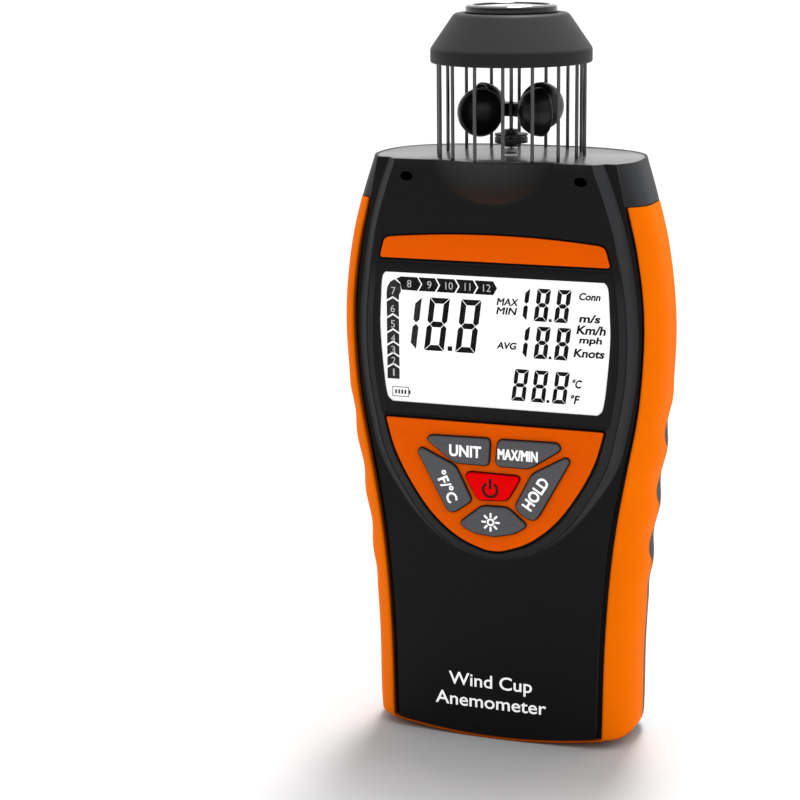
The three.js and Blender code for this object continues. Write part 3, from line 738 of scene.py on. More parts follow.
def compass_face():
    """The compass card: violet-blue to the north, green to the south, dark mottling between."""
    violet = (88, 96, 155)
    material = moulded("compass_card_print", linear(*violet), rough=0.35, bump=0.02, mottle=0.2, edge=0)
    tree = material.node_tree
    place = add_node(tree, "TexCoord")
    patches = add_node(tree, "TexNoise", {"Vector": place, "Scale": 260, "Detail": 4})
    wander = add_node(tree, "Math", {0: patches, 1: 0.009, 2: -0.0045}, operation="MULTIPLY_ADD")
    north = add_node(tree, "Math", {0: part_of(tree, place, "Y"), 1: wander}, operation="ADD")
    stops = [(0, (38, 110, 98)), (0.5, (24, 46, 66)), (1, violet)]
    set_shader(material, {"Base Color": ramped(tree, mapped(tree, north, -0.004, 0.004), stops)})
    return material


# Painted light: the casing black is painted lighter on faces turned away from the front.
BLACK = moulded(
    "black_casing_plastic", linear(16, 16, 16), rough=0.5, grain=1500, bump=0.08,
    painted_light_by_facing=linear(54, 55, 57), specular=0.12,
)
# Painted shade and a painted reflection on the dome.
tint_dome(BLACK)
# A copy of the casing black with its own painted light: lighter on faces turning from the front to the side.
SHOULDER_BLACK = moulded(
    "black_shoulder_plastic", linear(18, 18, 18), rough=0.5, grain=1500, bump=0.08,
    painted_light_by_facing=linear(54, 55, 57), painted_light_range=(-0.9, -0.5), specular=0.12,
)
# Painted shade darkens the rear black in narrow places.
REAR_BLACK = moulded(
    "black_casing_plastic_rear", linear(30, 30, 31), rough=0.5, grain=1500, bump=0.08, edge=0.3, specular=0.2,
    painted_crevice_shade=0.7,
)
# Painted shade darkens the grip in narrow places.
ORANGE_GRIP = moulded(
    "orange_grip_rubber", linear(255, 118, 0), rough=0.5, grain=1800, bump=0.05, edge=0.02, specular=0.01,
    painted_crevice_shade=0.6,
)
# Painted shade darkens the panel in narrow places, round the keys.
ORANGE_PANEL = moulded(
    "orange_panel_plastic", linear(250, 98, 0), rough=0.42, grain=1500, bump=0.03, edge=0.02, specular=0.02,
    painted_crevice_shade=0.9,
)
DECK = moulded("deck_plastic_grey", linear(91, 91, 91), rough=0.22, bump=0.01, edge=0.1, specular=0.5)
GLASS_BORDER = moulded(
    "window_border_black", linear(15, 15, 16), rough=0.3, bump=0.01, mottle=0.02, specular=0.12,
)
# Painted shade: the grey keys' side walls are painted darker than their tops.
KEY = moulded(
    "key_rubber_grey", linear(92, 93, 96), rough=0.55, grain=1800, bump=0.06, edge=0.1,
    painted_light_by_facing=linear(40, 41, 43), painted_light_range=(-0.9, -0.3),
)
# Painted shade: the power key's side walls are painted darker than its top.
POWER = moulded(
    "key_rubber_red", linear(255, 2, 6), rough=0.45, grain=1800, bump=0.04, edge=0.02, specular=0.02,
    painted_light_by_facing=linear(130, 0, 2), painted_light_range=(-0.9, -0.3),
)
# Painted light: the cap's cone and top are painted lighter than its upright rim, as they face up.
CAP = moulded(
    "cap_plastic", linear(36, 36, 36), rough=0.5, grain=1400, bump=0.06, painted_light_by_facing=linear(58, 58, 58),
    painted_light_axis="Z", painted_light_range=(0.1, 0.45), specular=0.12,
)
ROTOR = moulded("rotor_plastic_black", linear(12, 12, 13), rough=0.32, grain=1200, bump=0.02, specular=0.3)
BEZEL = moulded("bezel_navy", linear(8, 10, 16), rough=0.08, bump=0.0, mottle=0.02, edge=0.05, specular=0.4)
polish_top(BEZEL)

ROD = moulded("cage_rod_steel", linear(70, 70, 70), rough=0.25, bump=0.02, metal=1.0)
STEEL = moulded("spindle_steel_dark", linear(95, 98, 102), rough=0.28, bump=0.03, metal=1.0)
BEARING = moulded("bearing_bright", linear(120, 120, 124), rough=0.22, bump=0.03, metal=1.0)
MAGNET = moulded("magnet_grey", linear(165, 168, 172), rough=0.35, metal=0.6)
SPRING = moulded("spring_nickel", linear(184, 184, 176), rough=0.25, metal=1.0)
SCREW = moulded("screw_zinc", linear(140, 142, 146), rough=0.32, metal=1.0)

WINDOW = clear("window_clear")
LENS = glass("compass_lens_glass")
CARD = compass_face()
LCD = printed("lcd_white", linear(246, 246, 246), glow_and_painted_light=0.6)
SEGMENT = printed("lcd_segment", linear(16, 12, 13))
FADED_SEGMENT = printed("lcd_segment_faded", linear(52, 48, 50))
CELL_TEXT = printed("lcd_cell_text", linear(228, 230, 232))
# The white print glows a little: painted light, since the labels are no lamp.
LABEL = printed("label_white", linear(250, 250, 250), glow_and_painted_light=0.4)
ICON = printed("icon_dark", linear(60, 12, 12))
NEEDLE = printed("compass_red", linear(205, 40, 30))
BACKLIGHT = printed("backlight_guide", linear(232, 238, 244))

SILICONE = moulded("keypad_silicone", linear(52, 55, 58), rough=0.7)
CIRCUIT = moulded("circuit_board_green", linear(31, 92, 52), mottle=0.15)
BEAD = moulded("sensor_bead_resin", linear(43, 38, 32), rough=0.35)
CELL = moulded("cell_jacket_blue", linear(60, 111, 148), rough=0.3, mottle=0.1)


# ---------------------------------------------------------------- casing


def foot_curve(count):
    """The frame's foot, from the deck down to the middle."""
    return through(FOOT_POINTS, count)


def front_border():
    """The front's right edge, down from the deck, round the low corner and in to the middle.

    Gives its points and the lengths along it to each point and to the end of its straight side.
    """
    corner_z, radius, side_count = 1.5, 0.6, 60
    heights = np.linspace(DECK_Z, corner_z, side_count)
    side = np.stack([grip_edge(heights) - channel_in(heights), heights], 1)
    side[heights > GRIP_TOP_Z, 0] += 0.35
    angles = np.linspace(0, math.pi / 2, 8)
    low_x = side[-1, 0]
    turn = [(low_x - radius * (1 - math.cos(a)), corner_z - radius * math.sin(a)) for a in angles]
    bottom = np.stack([np.linspace(turn[-1][0], 0, 30), np.full(30, 0.9)], 1)
    border = np.concatenate([side, turn[1:], bottom[1:]])
    lengths = np.r_[0, np.cumsum(np.linalg.norm(np.diff(border, axis=0), axis=1))]
    return border, lengths, lengths[side_count - 1]


def front_grid():
    """The front face's right half: rows from the deck round to the bottom, columns going inward."""
    rows = 150
    foot = foot_curve(rows)
    inward = -left_normals(foot)
    inward[-1] = (0, 1)
    border, border_length, side_length = front_border()
    foot_marks = [0, 0.54, 0.71, 0.80, 0.89, 1]
    border_marks = [0, 68, side_length - 30, side_length + 1, side_length + 12, border_length[-1]]
    places = np.interp(np.linspace(0, 1, rows), foot_marks, border_marks)
    outer = np.stack([np.interp(places, border_length, border[:, i]) for i in range(2)], 1)
    outward = left_normals(outer)
    outward[0] = (1, 0)
    outward[-1] = (0, -1)
    below_shoulder = 1 - smooth(outer[:, 1], GRIP_TOP_Z - 0.2, GRIP_TOP_Z + 1.5)
    flange = outer + outward * (0.05 + (CHANNEL_WIDTH + 0.6) * below_shoulder[:, None])
    flange[:, 1] = np.maximum(flange[:, 1], 0.3)
    plain = -1.0
    columns = [(flange, plain), (outer + outward * 0.04, plain), (outer + outward * 0.02, plain)]
    for t in np.linspace(0, 1, 20)[:-1]:
        columns.append((outer + (foot - outer) * t, plain))
    depths = [*np.linspace(0, OUTER_BAND, 9), *np.linspace(OUTER_BAND, OUTER_BAND + GROOVE, 5)[1:]]
    depths += [*np.linspace(OUTER_BAND + GROOVE, FRAME_WIDTH, 7)[1:], FRAME_WIDTH + 0.05]
    for depth in depths:
        line = foot + inward * depth
        line[:, 0] = np.maximum(line[:, 0], 0)
        line[:, 1] = np.minimum(line[:, 1], DECK_Z)
        line[0, 1] = DECK_Z
        columns.append((line, depth))
    inner = columns[-1][0]
    share = np.clip((inner[:, 1] - inner[-1, 1]) / (DECK_Z - inner[-1, 1]), 0, 1)
    spine_low_z = 54
    spine = np.stack([np.zeros(rows), spine_low_z + (DECK_Z - spine_low_z) * share**0.8], 1)
    for t in np.linspace(0, 1, 28)[1:]:
        columns.append((inner + (spine - inner) * t, FRAME_WIDTH + 1))
    grid = np.zeros((rows, len(columns), 3))
    for c, (line, depth) in enumerate(columns):
        grid[:, c, 0] = line[:, 0]
        grid[:, c, 2] = line[:, 1]
        grid[:, c, 1] = -front_height(line[:, 0], line[:, 1], np.full(rows, depth))
    grid[:, :2, 1] += CHANNEL_DEPTH * below_shoulder[:, None] + 0.05
    return lifted(grid)


def shoulder_grid():
    """The black shoulder above the grip, from the front edge back to the parting line."""
    heights = np.linspace(GRIP_TOP_Z + 0.25, DECK_Z, 14)
    ts = np.linspace(0, 1, 18)
    grid = np.zeros((len(heights), len(ts), 3))
    for r, z in enumerate(heights):
        y = edge_y(z) + (SPLIT_Y - edge_y(z)) * ts
        grid[r, :, 0] = side_section(np.full_like(y, z), y)
        grid[r, :, 1] = y
        grid[r, :, 2] = z
    return grid


def panel_outline():
    """The keypad panel."""
    half = through(PANEL_POINTS, 40)
    top = [(28.75, PANEL_TOP_Z - 0.1), (28.4, PANEL_TOP_Z)]
    return both_sides(np.concatenate([half, top]))


def window_outline():
    """The display window, which fills the frame's width."""
    heights = np.linspace(WINDOW_LOW_Z, WINDOW_HIGH_Z, 24)
    foot = foot_curve(400)
    half = np.interp(heights, foot[::-1, 1], foot[::-1, 0]) - FRAME_WIDTH + 0.5
    return both_sides(np.stack([half, heights], 1))


def accent_outline():
    """The accent bar above the window, with its low arch."""
    arch = [(27.1 * (1 - t), 132.2 + 1.4 * (1 - (1 - t) ** 2)) for t in np.linspace(0, 1, 16)]
    half = [(29.7, 126.7), (30.1, 127.2), (29.2, 130.6), (28.9, 131.3), (28.4, 131.8), (27.8, 132.05)]
    return both_sides(np.array(half + arch))


def grown(outline, margin):
    """An outline moved outward."""
    return inset(counter_clockwise(outline), -margin)


def make_front_casing():
    face = sheet("front_casing_face", front_grid(), SKIN)
    windows = [(accent_outline(), 0.5), (window_outline(), 0.06), (panel_outline(), 0.75)]
    cutters = [cutter(grown(outline, margin), 3, -0.9) for outline, margin in windows]
    for side in (-1, 1):
        cutters.append(cutter(oval(side * VENT_X, VENT_Z, 1.75, 1.2, 32), 3, -4))
    cut(face, *cutters)
    finish(face, BLACK, nodes=["front_casing"])
    shoulders = sheet("shoulder", shoulder_grid(), SKIN)
    finish(shoulders, SHOULDER_BLACK)
    half = [(0, 47), (20, 60), (30, 74), (32, 96), (32, 118), (30, 135), (0, 136)]
    floor = plate("front_recess_floor", both_sides(half), -1.3, -2.4, bevel=0, steps=1)
    finish(floor, BLACK)


def boot_contours():
    """Matching lines round the grip: its inner front edge and its widest line."""
    turn = np.linspace(0, math.pi / 2, 11)[1:]
    heights = np.r_[np.linspace(GRIP_TOP_Z, BASE_CORNER, BOOT_ROWS), BASE_CORNER * (1 - np.sin(turn))]
    wide = np.stack([widest(heights), heights], 1)
    flat = np.stack([np.linspace(wide[-1, 0], 0, 18)[1:], np.zeros(17)], 1)
    corner_z, radius = 1.2, 0.7
    edge_heights = np.linspace(GRIP_TOP_Z, corner_z, BOOT_ROWS)
    edge = np.stack([grip_edge(edge_heights) + channel_out(edge_heights), edge_heights], 1)
    bend = np.stack([edge[-1, 0] - radius * (1 - np.cos(turn)), corner_z - radius * np.sin(turn)], 1)
    under = np.stack([np.linspace(bend[-1, 0], 0, 18)[1:], np.full(17, bend[-1, 1])], 1)
    return np.concatenate([edge, bend, under]), np.concatenate([wide, flat])


def make_grip_boot():
    """Each line of the grip goes round its rolled front rim, out to the widest line and back to the split."""
    edge, wide = boot_contours()
    index = np.arange(len(edge))
    under = smooth(index, BOOT_ROWS - 2, BOOT_ROWS + 14)
    power = 3 + 5 * under
    near = edge_y(edge[:, 1]) - 1.4 * (1 - np.clip(edge[:, 0] / LIFT_REACH, 0, 1) ** 2) * under
    near = near + 0.6 * channel_out(edge[:, 1])
    middle = widest_y(wide[:, 1])
    end = SPLIT_Y - GRIP_TONGUE * scallop(wide[:, 1]) * (index < BOOT_ROWS) - SPLIT_GAP
    outward = left_normals(edge)
    rim = 0.5 - 0.38 * smooth(index, BOOT_ROWS - 2, BOOT_ROWS + 11)
    columns = [np.stack([edge[:, 0], near + 2.2, edge[:, 1]], 1)]
    for angle in np.linspace(0, 120, 9):
        turn = math.radians(angle)
        move = outward * (rim * (1 - math.cos(turn)))[:, None]
        y = near + rim - rim * math.sin(turn)
        columns.append(np.stack([edge[:, 0] + move[:, 0], y, edge[:, 1] + move[:, 1]], 1))
    start = columns[-1]
    for v in np.linspace(0, 1, 26)[1:]:
        y = start[:, 1] + (end - start[:, 1]) * v**1.4
        t = np.clip((y - start[:, 1]) / (middle - start[:, 1]), 0, 1)
        pull = 1 - (1 - t) ** power
        x = start[:, 0] + (wide[:, 0] - start[:, 0]) * pull
        z = start[:, 2] + (wide[:, 1] - start[:, 2]) * pull
        columns.append(np.stack([x, y, z], 1))
    boot = sheet("grip_boot_shell", lifted(np.stack(columns, 1)), 0.45)
    finish(boot, ORANGE_GRIP, nodes=["grip_boot"])


def rear_point(x, z):
    """The back surface's depth at a place."""
    middle = widest_y(z)
    share = 1 - (np.abs(x) / widest(z)) ** REAR_ROUNDNESS
    return middle + (REAR_Y - base_round(z) - middle) * share ** (1 / REAR_ROUNDNESS)


def back_curve(z, count):
    """The back's right half at a height, from the side's last depth round to the middle."""
    middle = float(widest_y(z))
    rear = REAR_Y - float(base_round(z))
    first = math.asin(((SIDE_END_Y - middle) / (rear - middle)) ** (REAR_ROUNDNESS / 2))
    angle = np.linspace(first, math.pi / 2, count)
    x = float(widest(z)) * np.maximum(np.cos(angle), 0) ** (2 / REAR_ROUNDNESS)
    x[-1] = 0
    return x, middle + (rear - middle) * np.sin(angle) ** (2 / REAR_ROUNDNESS)


def rear_grid():
    """The rear casing's right half: a row at each height, and rows that close the base."""
    turn = np.linspace(0, math.pi / 2, 9)[1:]
    heights = np.r_[np.linspace(DECK_Z, BASE_CORNER, 170), BASE_CORNER * (1 - np.sin(turn))]
    rows = []
    for z in heights:
        start = SPLIT_Y - GRIP_TONGUE * float(scallop(z)) + SPLIT_GAP
        y = start + (SIDE_END_Y - start) * np.linspace(0, 1, 9)[:-1]
        x = side_section(np.full_like(y, z), y)
        back_x, back_y = back_curve(z, 34)
        rows.append(np.stack([np.r_[x, back_x], np.r_[y, back_y], np.full(len(x) + len(back_x), z)], 1))
    last = rows[-1]
    for t in np.linspace(0, 1, 7)[1:]:
        row = last.copy()
        row[:, 1] = SPLIT_Y + SPLIT_GAP + (last[:, 1] - SPLIT_Y - SPLIT_GAP) * (1 - t)
        rows.append(row)
    return lifted(np.stack(rows))


def make_rear_casing():
    rear = sheet("rear_casing_shell", rear_grid(), SKIN)
    low, high = corner("battery_door", 0), corner("battery_door", 1)
    gap = 0.2
    hole = box_outline(low[0] - gap, low[2] - gap, high[0] + gap, high[2] + gap)
    cutters = [cutter(rounded(hole, 1.5), -10, -30, upright)]
    posts = []
    inner, outer = 2.9, 3.5
    for number in range(1, 5):
        x, _, z = middle_of(f"case_screw_{number}")
        cutters.append(cutter(oval(x, z, inner, inner), -8, -30, upright))
        surface = float(rear_point(np.array(abs(x) + 3.4), np.array(z)))
        tube = [(inner, 13.0), (outer, 13.0), (outer, surface - 0.4), (inner, surface - 0.2)]
        posts.append(lathe("screw_post", tube, 40, moved(x, 0, z) @ TOWARD_BACK))
    cut(rear, *cutters)
    finish(rear, REAR_BLACK, nodes=["rear_casing"])
    finish(join("screw_posts", posts), REAR_BLACK)


def make_battery_door():
    """The door's cover follows the back, with grooves across its lower end for a thumb."""
    low, high = corner("battery_door", 0), corner("battery_door", 1)
    xs = np.linspace(0, high[0], 22)
    heights = np.linspace(low[2], high[2], 60)
    grid = np.zeros((len(heights), len(xs), 3))
    for r, z in enumerate(heights):
        grooved = low[2] + 3 < z < low[2] + 13 and math.sin((z - low[2]) * math.pi / 2.2) > 0.2
        depth = np.where(xs < high[0] - 5, 0.25 * grooved, 0)
        grid[r, :, 0] = xs
        grid[r, :, 1] = rear_point(xs, np.full_like(xs, z)) - depth - 0.02
        grid[r, :, 2] = z
    door = sheet("battery_door_cover", grid, 1.4)
    cut(door, cutter(oval(0, middle_of("door_screw")[2], 2.2, 2.2), -10, -30, upright))
    finish(door, REAR_BLACK, body="battery_door", nodes=["battery_door"])


def cross_screw(name, node, body):
    """A pan-head screw with a cross recess, its head facing the back."""
    low, high = corner(node, 0), corner(node, 1)
    x, _, z = middle_of(node)
    radius = (high[2] - low[2]) / 2 - 0.05
    back = high[1]
    depth = back - low[1]
    head = [
        (0, -depth), (radius * 0.55, -depth), (radius * 0.55, -depth * 0.6), (radius, -depth * 0.6),
        (radius, -0.45), (radius * 0.8, -0.12), (0, 0),
    ]
    screw = lathe(name, soft_profile(head, 0.15), 48, moved(x, back, z) @ TOWARD_BACK)
    reach = radius * 0.62
    bars = []
    for wide, tall in ((reach, 0.3), (0.3, reach)):
        bar = box_outline(x - wide, z - tall, x + wide, z + tall)
        bars.append(cutter(bar, -(back - 0.7), -(back + 1), upright))
    cut(screw, *bars)
    finish(screw, SCREW, body=body, nodes=[node])


def deck_outline():
    """The deck's plan, inside the casing's top edge."""
    xs = np.r_[np.linspace(0, 16, 28), np.linspace(16, 31, 16)[1:]]
    front = np.stack([xs, -front_height(xs, np.full_like(xs, DECK_Z), FOOT_POINTS[0][0] - xs)], 1)
    ys = np.linspace(float(edge_y(DECK_Z)) + 0.3, SIDE_END_Y - 0.1, 20)
    side = np.stack([side_section(np.full_like(ys, DECK_Z), ys), ys], 1)
    back = np.stack(back_curve(DECK_Z, 30), 1)
    half = even(np.concatenate([front, side, back]), 110)
    left = half[::-1] * [-1, 1]
    return counter_clockwise(np.concatenate([half, left[1:-1]]))


def make_deck():
    outline = inset(deck_outline(), 0.65)

    def level(x, height, y):
        return np.stack([x, y, np.full_like(x, DECK_Z + height)], -1)

    deck = plate("top_deck_plate", outline, -0.12, -1.3, bevel=0.2, place=level)
    finish(deck, DECK, nodes=["top_deck"])


# ---------------------------------------------------------------- front panels, display and keys


def make_panels():
    accent = plate("accent_bar", accent_outline(), 0.1, -1.2, bevel=0.25)
    finish(accent, ORANGE_PANEL, nodes=["accent_panel"])
    panel = plate("keypad_panel_plate", panel_outline(), 0.1, -1.2, bevel=0.2)
    cut(panel, *[cutter(grown(key_outline(name), 0.22), 2, -4) for name in KEYS])
    finish(panel, ORANGE_PANEL, nodes=["keypad_panel"])


def lcd_outline():
    """The lit part of the window."""
    half = through(LCD_POINTS, 40)
    return both_sides(np.concatenate([[(20, 89.38)], half, [(20, 123)]]))


def make_window():
    border = plate("window_border", window_outline(), -0.08, -0.8, bevel=0.1)
    cut(border, cutter(lcd_outline(), 2, -4))
    finish(border, GLASS_BORDER, nodes=["display_window"])
    pane = plate("window_pane", inset(lcd_outline(), 0.02), -0.12, -0.2, bevel=0.02, steps=1)
    finish(pane, WINDOW)
    face = plate("lcd_face", grown(lcd_outline(), 0.4), -0.42, -1.2, bevel=0.02, steps=1)
    finish(face, LCD, nodes=["lcd_panel"])


LCD_LEVEL = -0.34


def ink(name, outlines, material, body="casing", slot="lcd", level=LCD_LEVEL, thick=0.12, place=None):
    """Flat marks: thin plates joined into one piece."""
    back = level - thick
    plates = [plate(name, outline, level, back, bevel=0, steps=1, place=place) for outline in outlines]
    return finish(join(name, plates), material, body=body)


def lettering(
    name, words, center, size, material, angle=0.0, slant=0.0, weight=0.0, strike=0.0,
    level=LCD_LEVEL, thick=0.1, body="casing", slot="lcd", place=None,
):
    """Words fitted to a width and height in millimetres, centred on a place on the front.

    weight thickens every stroke, and strike widens only the upright ones.
    """
    curve = bpy.data.curves.new(name, "FONT")
    curve.body = words
    curve.extrude = 0.5
    curve.offset = weight
    curve.resolution_u = 4
    source = bpy.data.objects.new(name, curve)
    bpy.context.scene.collection.objects.link(source)
    graph = bpy.context.evaluated_depsgraph_get()
    mesh = bpy.data.meshes.new_from_object(source.evaluated_get(graph))
    bpy.data.objects.remove(source)
    points = np.array([v.co[:] for v in mesh.vertices])
    low, high = points.min(0), points.max(0)
    u, v, w = ((points - low) / (high - low)).T
    u = (u - 0.5) * size[0]
    v = (v - 0.5) * size[1]
    u = u + v * slant
    turn = math.radians(angle)
    x = center[0] + u * math.cos(turn) - v * math.sin(turn)
    z = center[1] + u * math.sin(turn) + v * math.cos(turn)
    where = (place or flat_front)(x, level - thick + w * thick, z)
    faces = [tuple(p.vertices) for p in mesh.polygons]
    obj = tidy_mesh(new_object(name, where, faces), merge=1e-8)
    if strike:
        doubled(obj, strike)
    return finish(obj, material, body=body, angle=50)


def doubled(obj, distance):
    """Joins the words with a copy shifted sideways, which widens every upright stroke."""
    copy = bpy.data.objects.new(obj.name + "_copy", obj.data.copy())
    copy.data.transform(Matrix.Translation(Vector((distance * MM, 0, 0))))
    bpy.context.scene.collection.objects.link(copy)
    union = obj.modifiers.new("bold", "BOOLEAN")
    union.operation = "UNION"
    union.solver = "MANIFOLD"
    union.object = copy
    applied(obj)
    bpy.data.objects.remove(copy)


SEGMENTS = {"8": "abcdefg", "1": "bc"}
DIGIT_SLANT = 0.13


def seven(char, left, bottom, width, height, stroke):
    """The lit bars of one seven-segment digit; left is its lower left corner."""
    gap = stroke * 0.1
    half = stroke / 2
    middle = height / 2
    across = [(gap, 0), (width - gap, 0), (width - stroke - gap, stroke), (stroke + gap, stroke)]
    down = [
        (0, height - gap), (stroke, height - stroke - gap), (stroke, middle + half + gap),
        (half, middle + gap), (0, middle + half + gap),
    ]
    shapes = {
        "a": [(u, height - v) for u, v in across],
        "d": across,
        "g": [
            (half + gap, middle), (stroke + gap, middle + half), (width - stroke - gap, middle + half),
            (width - half - gap, middle), (width - stroke - gap, middle - half),
            (stroke + gap, middle - half),
        ],
        "f": down,
        "b": [(width - u, v) for u, v in down],
        "e": [(u, height - v) for u, v in down],
        "c": [(width - u, height - v) for u, v in down],
    }
    return [[(left + u + v * DIGIT_SLANT, bottom + v) for u, v in shapes[key]] for key in SEGMENTS[char]]


def dot(x, z, size):
    """A square point, as a list of one outline."""
    return [box_outline(x - size, z - size, x + size, z + size)]


def chevron_column():
    """The wind-force bar: cells up the left side, and the cell that turns the corner."""
    left, right, point = -28.6, -25.3, 1.0
    middle = (left + right) / 2
    edges = [95.2, 98.4, 101.3, 104.2, 107.4, 111.3, 115.7]
    cells = []
    for i, (low, upper) in enumerate(zip(edges, edges[1:])):
        high = upper - 0.5
        notch = point if i else 0
        cells.append([
            (left, low), (middle, low + notch), (right, low),
            (right, high), (middle, high + point), (left, high),
        ])
    cells.append([
        (left, edges[-1]), (middle, edges[-1] + point), (right, edges[-1]), (right + 0.1, 117.2),
        (right + 0.6, 118.0), (right + 0.5, 119.9), (-26.4, 121.1), (-27.6, 120.4), (-28.4, 119.0),
        (left, 117.6),
    ])
    return cells


def chevron_row():
    """The wind-force bar's cells along the top."""
    low, high, point = 118.4, 121.9, 1.0
    middle = (low + high) / 2
    cells = [[
        (-24.5, low + 0.1), (-20.3, low), (-19.3, middle), (-20.3, high), (-24.7, high), (-25.9, 121.3),
        (-24.8, 120.2),
    ]]
    edges = [-19.9, -15.1, -9.9, -4.95, 0.4]
    for left, after in zip(edges, edges[1:]):
        right = after - 0.45
        cells.append([
            (left, low), (right, low), (right + point, middle),
            (right, high), (left, high), (left + point, middle),
        ])
    return cells


def battery_icon():
    """A battery's outline with its pole and four charge bars."""
    left, right, low, high, line = -27.3, -22.8, 90.6, 93.2, 0.16
    bars = [
        box_outline(left, low, right, low + line),
        box_outline(left, high - line, right, high),
        box_outline(left, low, left + line, high),
        box_outline(right - line, low, right, high),
        box_outline(right, low + 0.8, right + 0.4, high - 0.8),
    ]
    for i in range(4):
        x = left + 0.75 + i * 0.85
        bars.append(box_outline(x, low + 0.75, x + 0.45, high - 0.75))
    return bars


# The numbers in the wind-force bar's cells: their places from 1 up, and the widths that differ.
CELL_CENTERS = [
    (-26.85, 96.9), (-26.9, 99.95), (-26.95, 102.8), (-26.95, 105.8), (-26.95, 109.5), (-26.95, 113.5),
    (-26.7, 118.1), (-22.4, 120.15), (-17.0, 120.15), (-11.7, 120.15), (-6.8, 120.15), (-1.7, 120.15),
]
CELL_WIDTHS = {1: 0.42, 10: 2.0, 11: 1.5, 12: 2.0}

# The display's words, with their centres and sizes.
LCD_LABELS = [
    ("MAX", (3.7, 116.85), (5.4, 1.85)), ("MIN", (3.4, 114.55), (5.0, 1.85)),
    ("AVG", (3.5, 105.7), (5.0, 1.85)), ("Conn", (25.0, 119.3), (5.5, 1.9)),
    ("m/s", (25.1, 113.8), (5.3, 2.1)), ("Km/h", (25.5, 110.9), (7.4, 2.3)),
    ("mph", (25.3, 108.1), (5.8, 2.3)), ("Knots", (25.0, 105.0), (7.8, 2.2)),
    ("°C", (21.8, 97.1), (2.5, 2.3)), ("°F", (21.3, 93.1), (2.3, 2.3)),
]


def make_display():
    dark = []
    for left in (-18.6, -10.2):
        dark += seven("8", left, 103.2, 5.3, 13.7, 1.45)
    dark += dot(-11.6, 104.0, 0.6)
    for bottom, height in ((112.4, 8.3), (102.9, 8.2)):
        for left in (10.5, 15.8):
            dark += seven("8", left, bottom, 3.45, height, 1.12)
    for left in (4.7, 9.85, 15.35):
        dark += seven("8", left, 91.7, 3.6, 8.2, 1.02)
    for bottom in (112.4, 102.9):
        dark += seven("1", 5.0, bottom, 3.6, 8.3, 1.12)
        dark += dot(14.85, bottom + 0.4, 0.36)
    dark += dot(14.35, 92.1, 0.36)
    dark += battery_icon() + chevron_row()
    ink("lcd_segments", dark, SEGMENT)
    faded = seven("1", -26.1, 103.2, 5.3, 13.7, 1.6) + chevron_column()
    ink("lcd_faded_segments", faded, FADED_SEGMENT)
    for number, center in enumerate(CELL_CENTERS, 1):
        size = (CELL_WIDTHS.get(number, 1.15), 1.9)
        lettering(f"cell_{number}", str(number), center, size, CELL_TEXT, level=LCD_LEVEL + 0.05)
    for words, center, size in LCD_LABELS:
        name = "lcd_" + "".join(c for c in words if c.isalnum())
        stroke = dict(strike=0.15) if "M" in words else dict(weight=0.03)
        lettering(name, words, center, size, SEGMENT, slant=0.2, **stroke)


KEY_BACK = -0.3
KEYS = {
    "key_unit": [
        (-17.84, 80.1), (-16.7, 81.3), (-1.0, 81.55), (-0.6, 80.4), (-1.0, 74.8), (-2.1, 74.3), (-9.5, 74.4),
        (-10.7, 74.7),
    ],
    "key_max_min": [
        (1.3, 80.6), (2.2, 81.5), (17.1, 81.7), (18.0, 80.5), (17.6, 79.6), (10.3, 74.8), (8.9, 74.4),
        (1.5, 74.4), (0.8, 75.4),
    ],
    "key_temperature": [
        (-20.3, 76.75), (-19.2, 77.9), (-10.5, 74.0), (-9.5, 72.9), (-5.7, 65.2), (-6.3, 64.15),
        (-10.1, 61.45), (-11.5, 61.2), (-12.5, 61.95),
    ],
    "key_hold": [
        (19.45, 78.2), (20.5, 77.2), (12.2, 62.0), (11.0, 60.9), (9.1, 61.25), (6.5, 63.1), (6.1, 64.5),
        (10.3, 72.8), (11.5, 73.7),
    ],
    "key_power": [
        (-7.4, 71.2), (-6.4, 72.4), (6.75, 72.3), (7.3, 71.45), (4.4, 66.3), (3.4, 65.5), (-3.3, 65.1),
        (-4.25, 65.5),
    ],
    "key_backlight": [
        (-8.6, 58.95), (-3.3, 63.3), (-2.1, 63.7), (3.2, 63.8), (4.4, 63.5), (8.9, 59.8), (8.7, 58.8),
        (5.6, 56.9), (0.3, 55.7), (-5.0, 56.2), (-8.4, 57.8),
    ],
}

# The words on the keys, with their centres, sizes and styles.
KEY_LABELS = [
    ("unit", "UNIT", (-7.2, 77.8), (8.6, 3.1), dict(weight=0.03)),
    ("max_min", "MAX/MIN", (6.7, 77.8), (10.4, 2.8), dict(strike=0.22)),
    ("hold", "HOLD", (11.6, 68.1), (9.4, 3.1), dict(angle=58, weight=0.03)),
    ("temperature", "°F/°C", (-12.2, 68.1), (8.6, 3.1), dict(angle=-64, weight=0.025)),
]


def key_outline(name):
    """A key's outline with round corners."""
    return counter_clockwise(rounded(KEYS[name], 0.8, 4))


def backlight_sign(center):
    """A small sun: a ring with eight rays."""
    outlines = [arc_band(center, 0.55, 1.02, 0, 358)]
    inner, outer, half = 1.25, 2.45, 0.26
    for i in range(8):
        angle = i * math.pi / 4
        along = np.array([math.cos(angle), math.sin(angle)])
        across = np.array([-along[1], along[0]]) * half
        outlines.append(bar_outline(np.array(center), along * inner, along * outer, across))
    return outlines


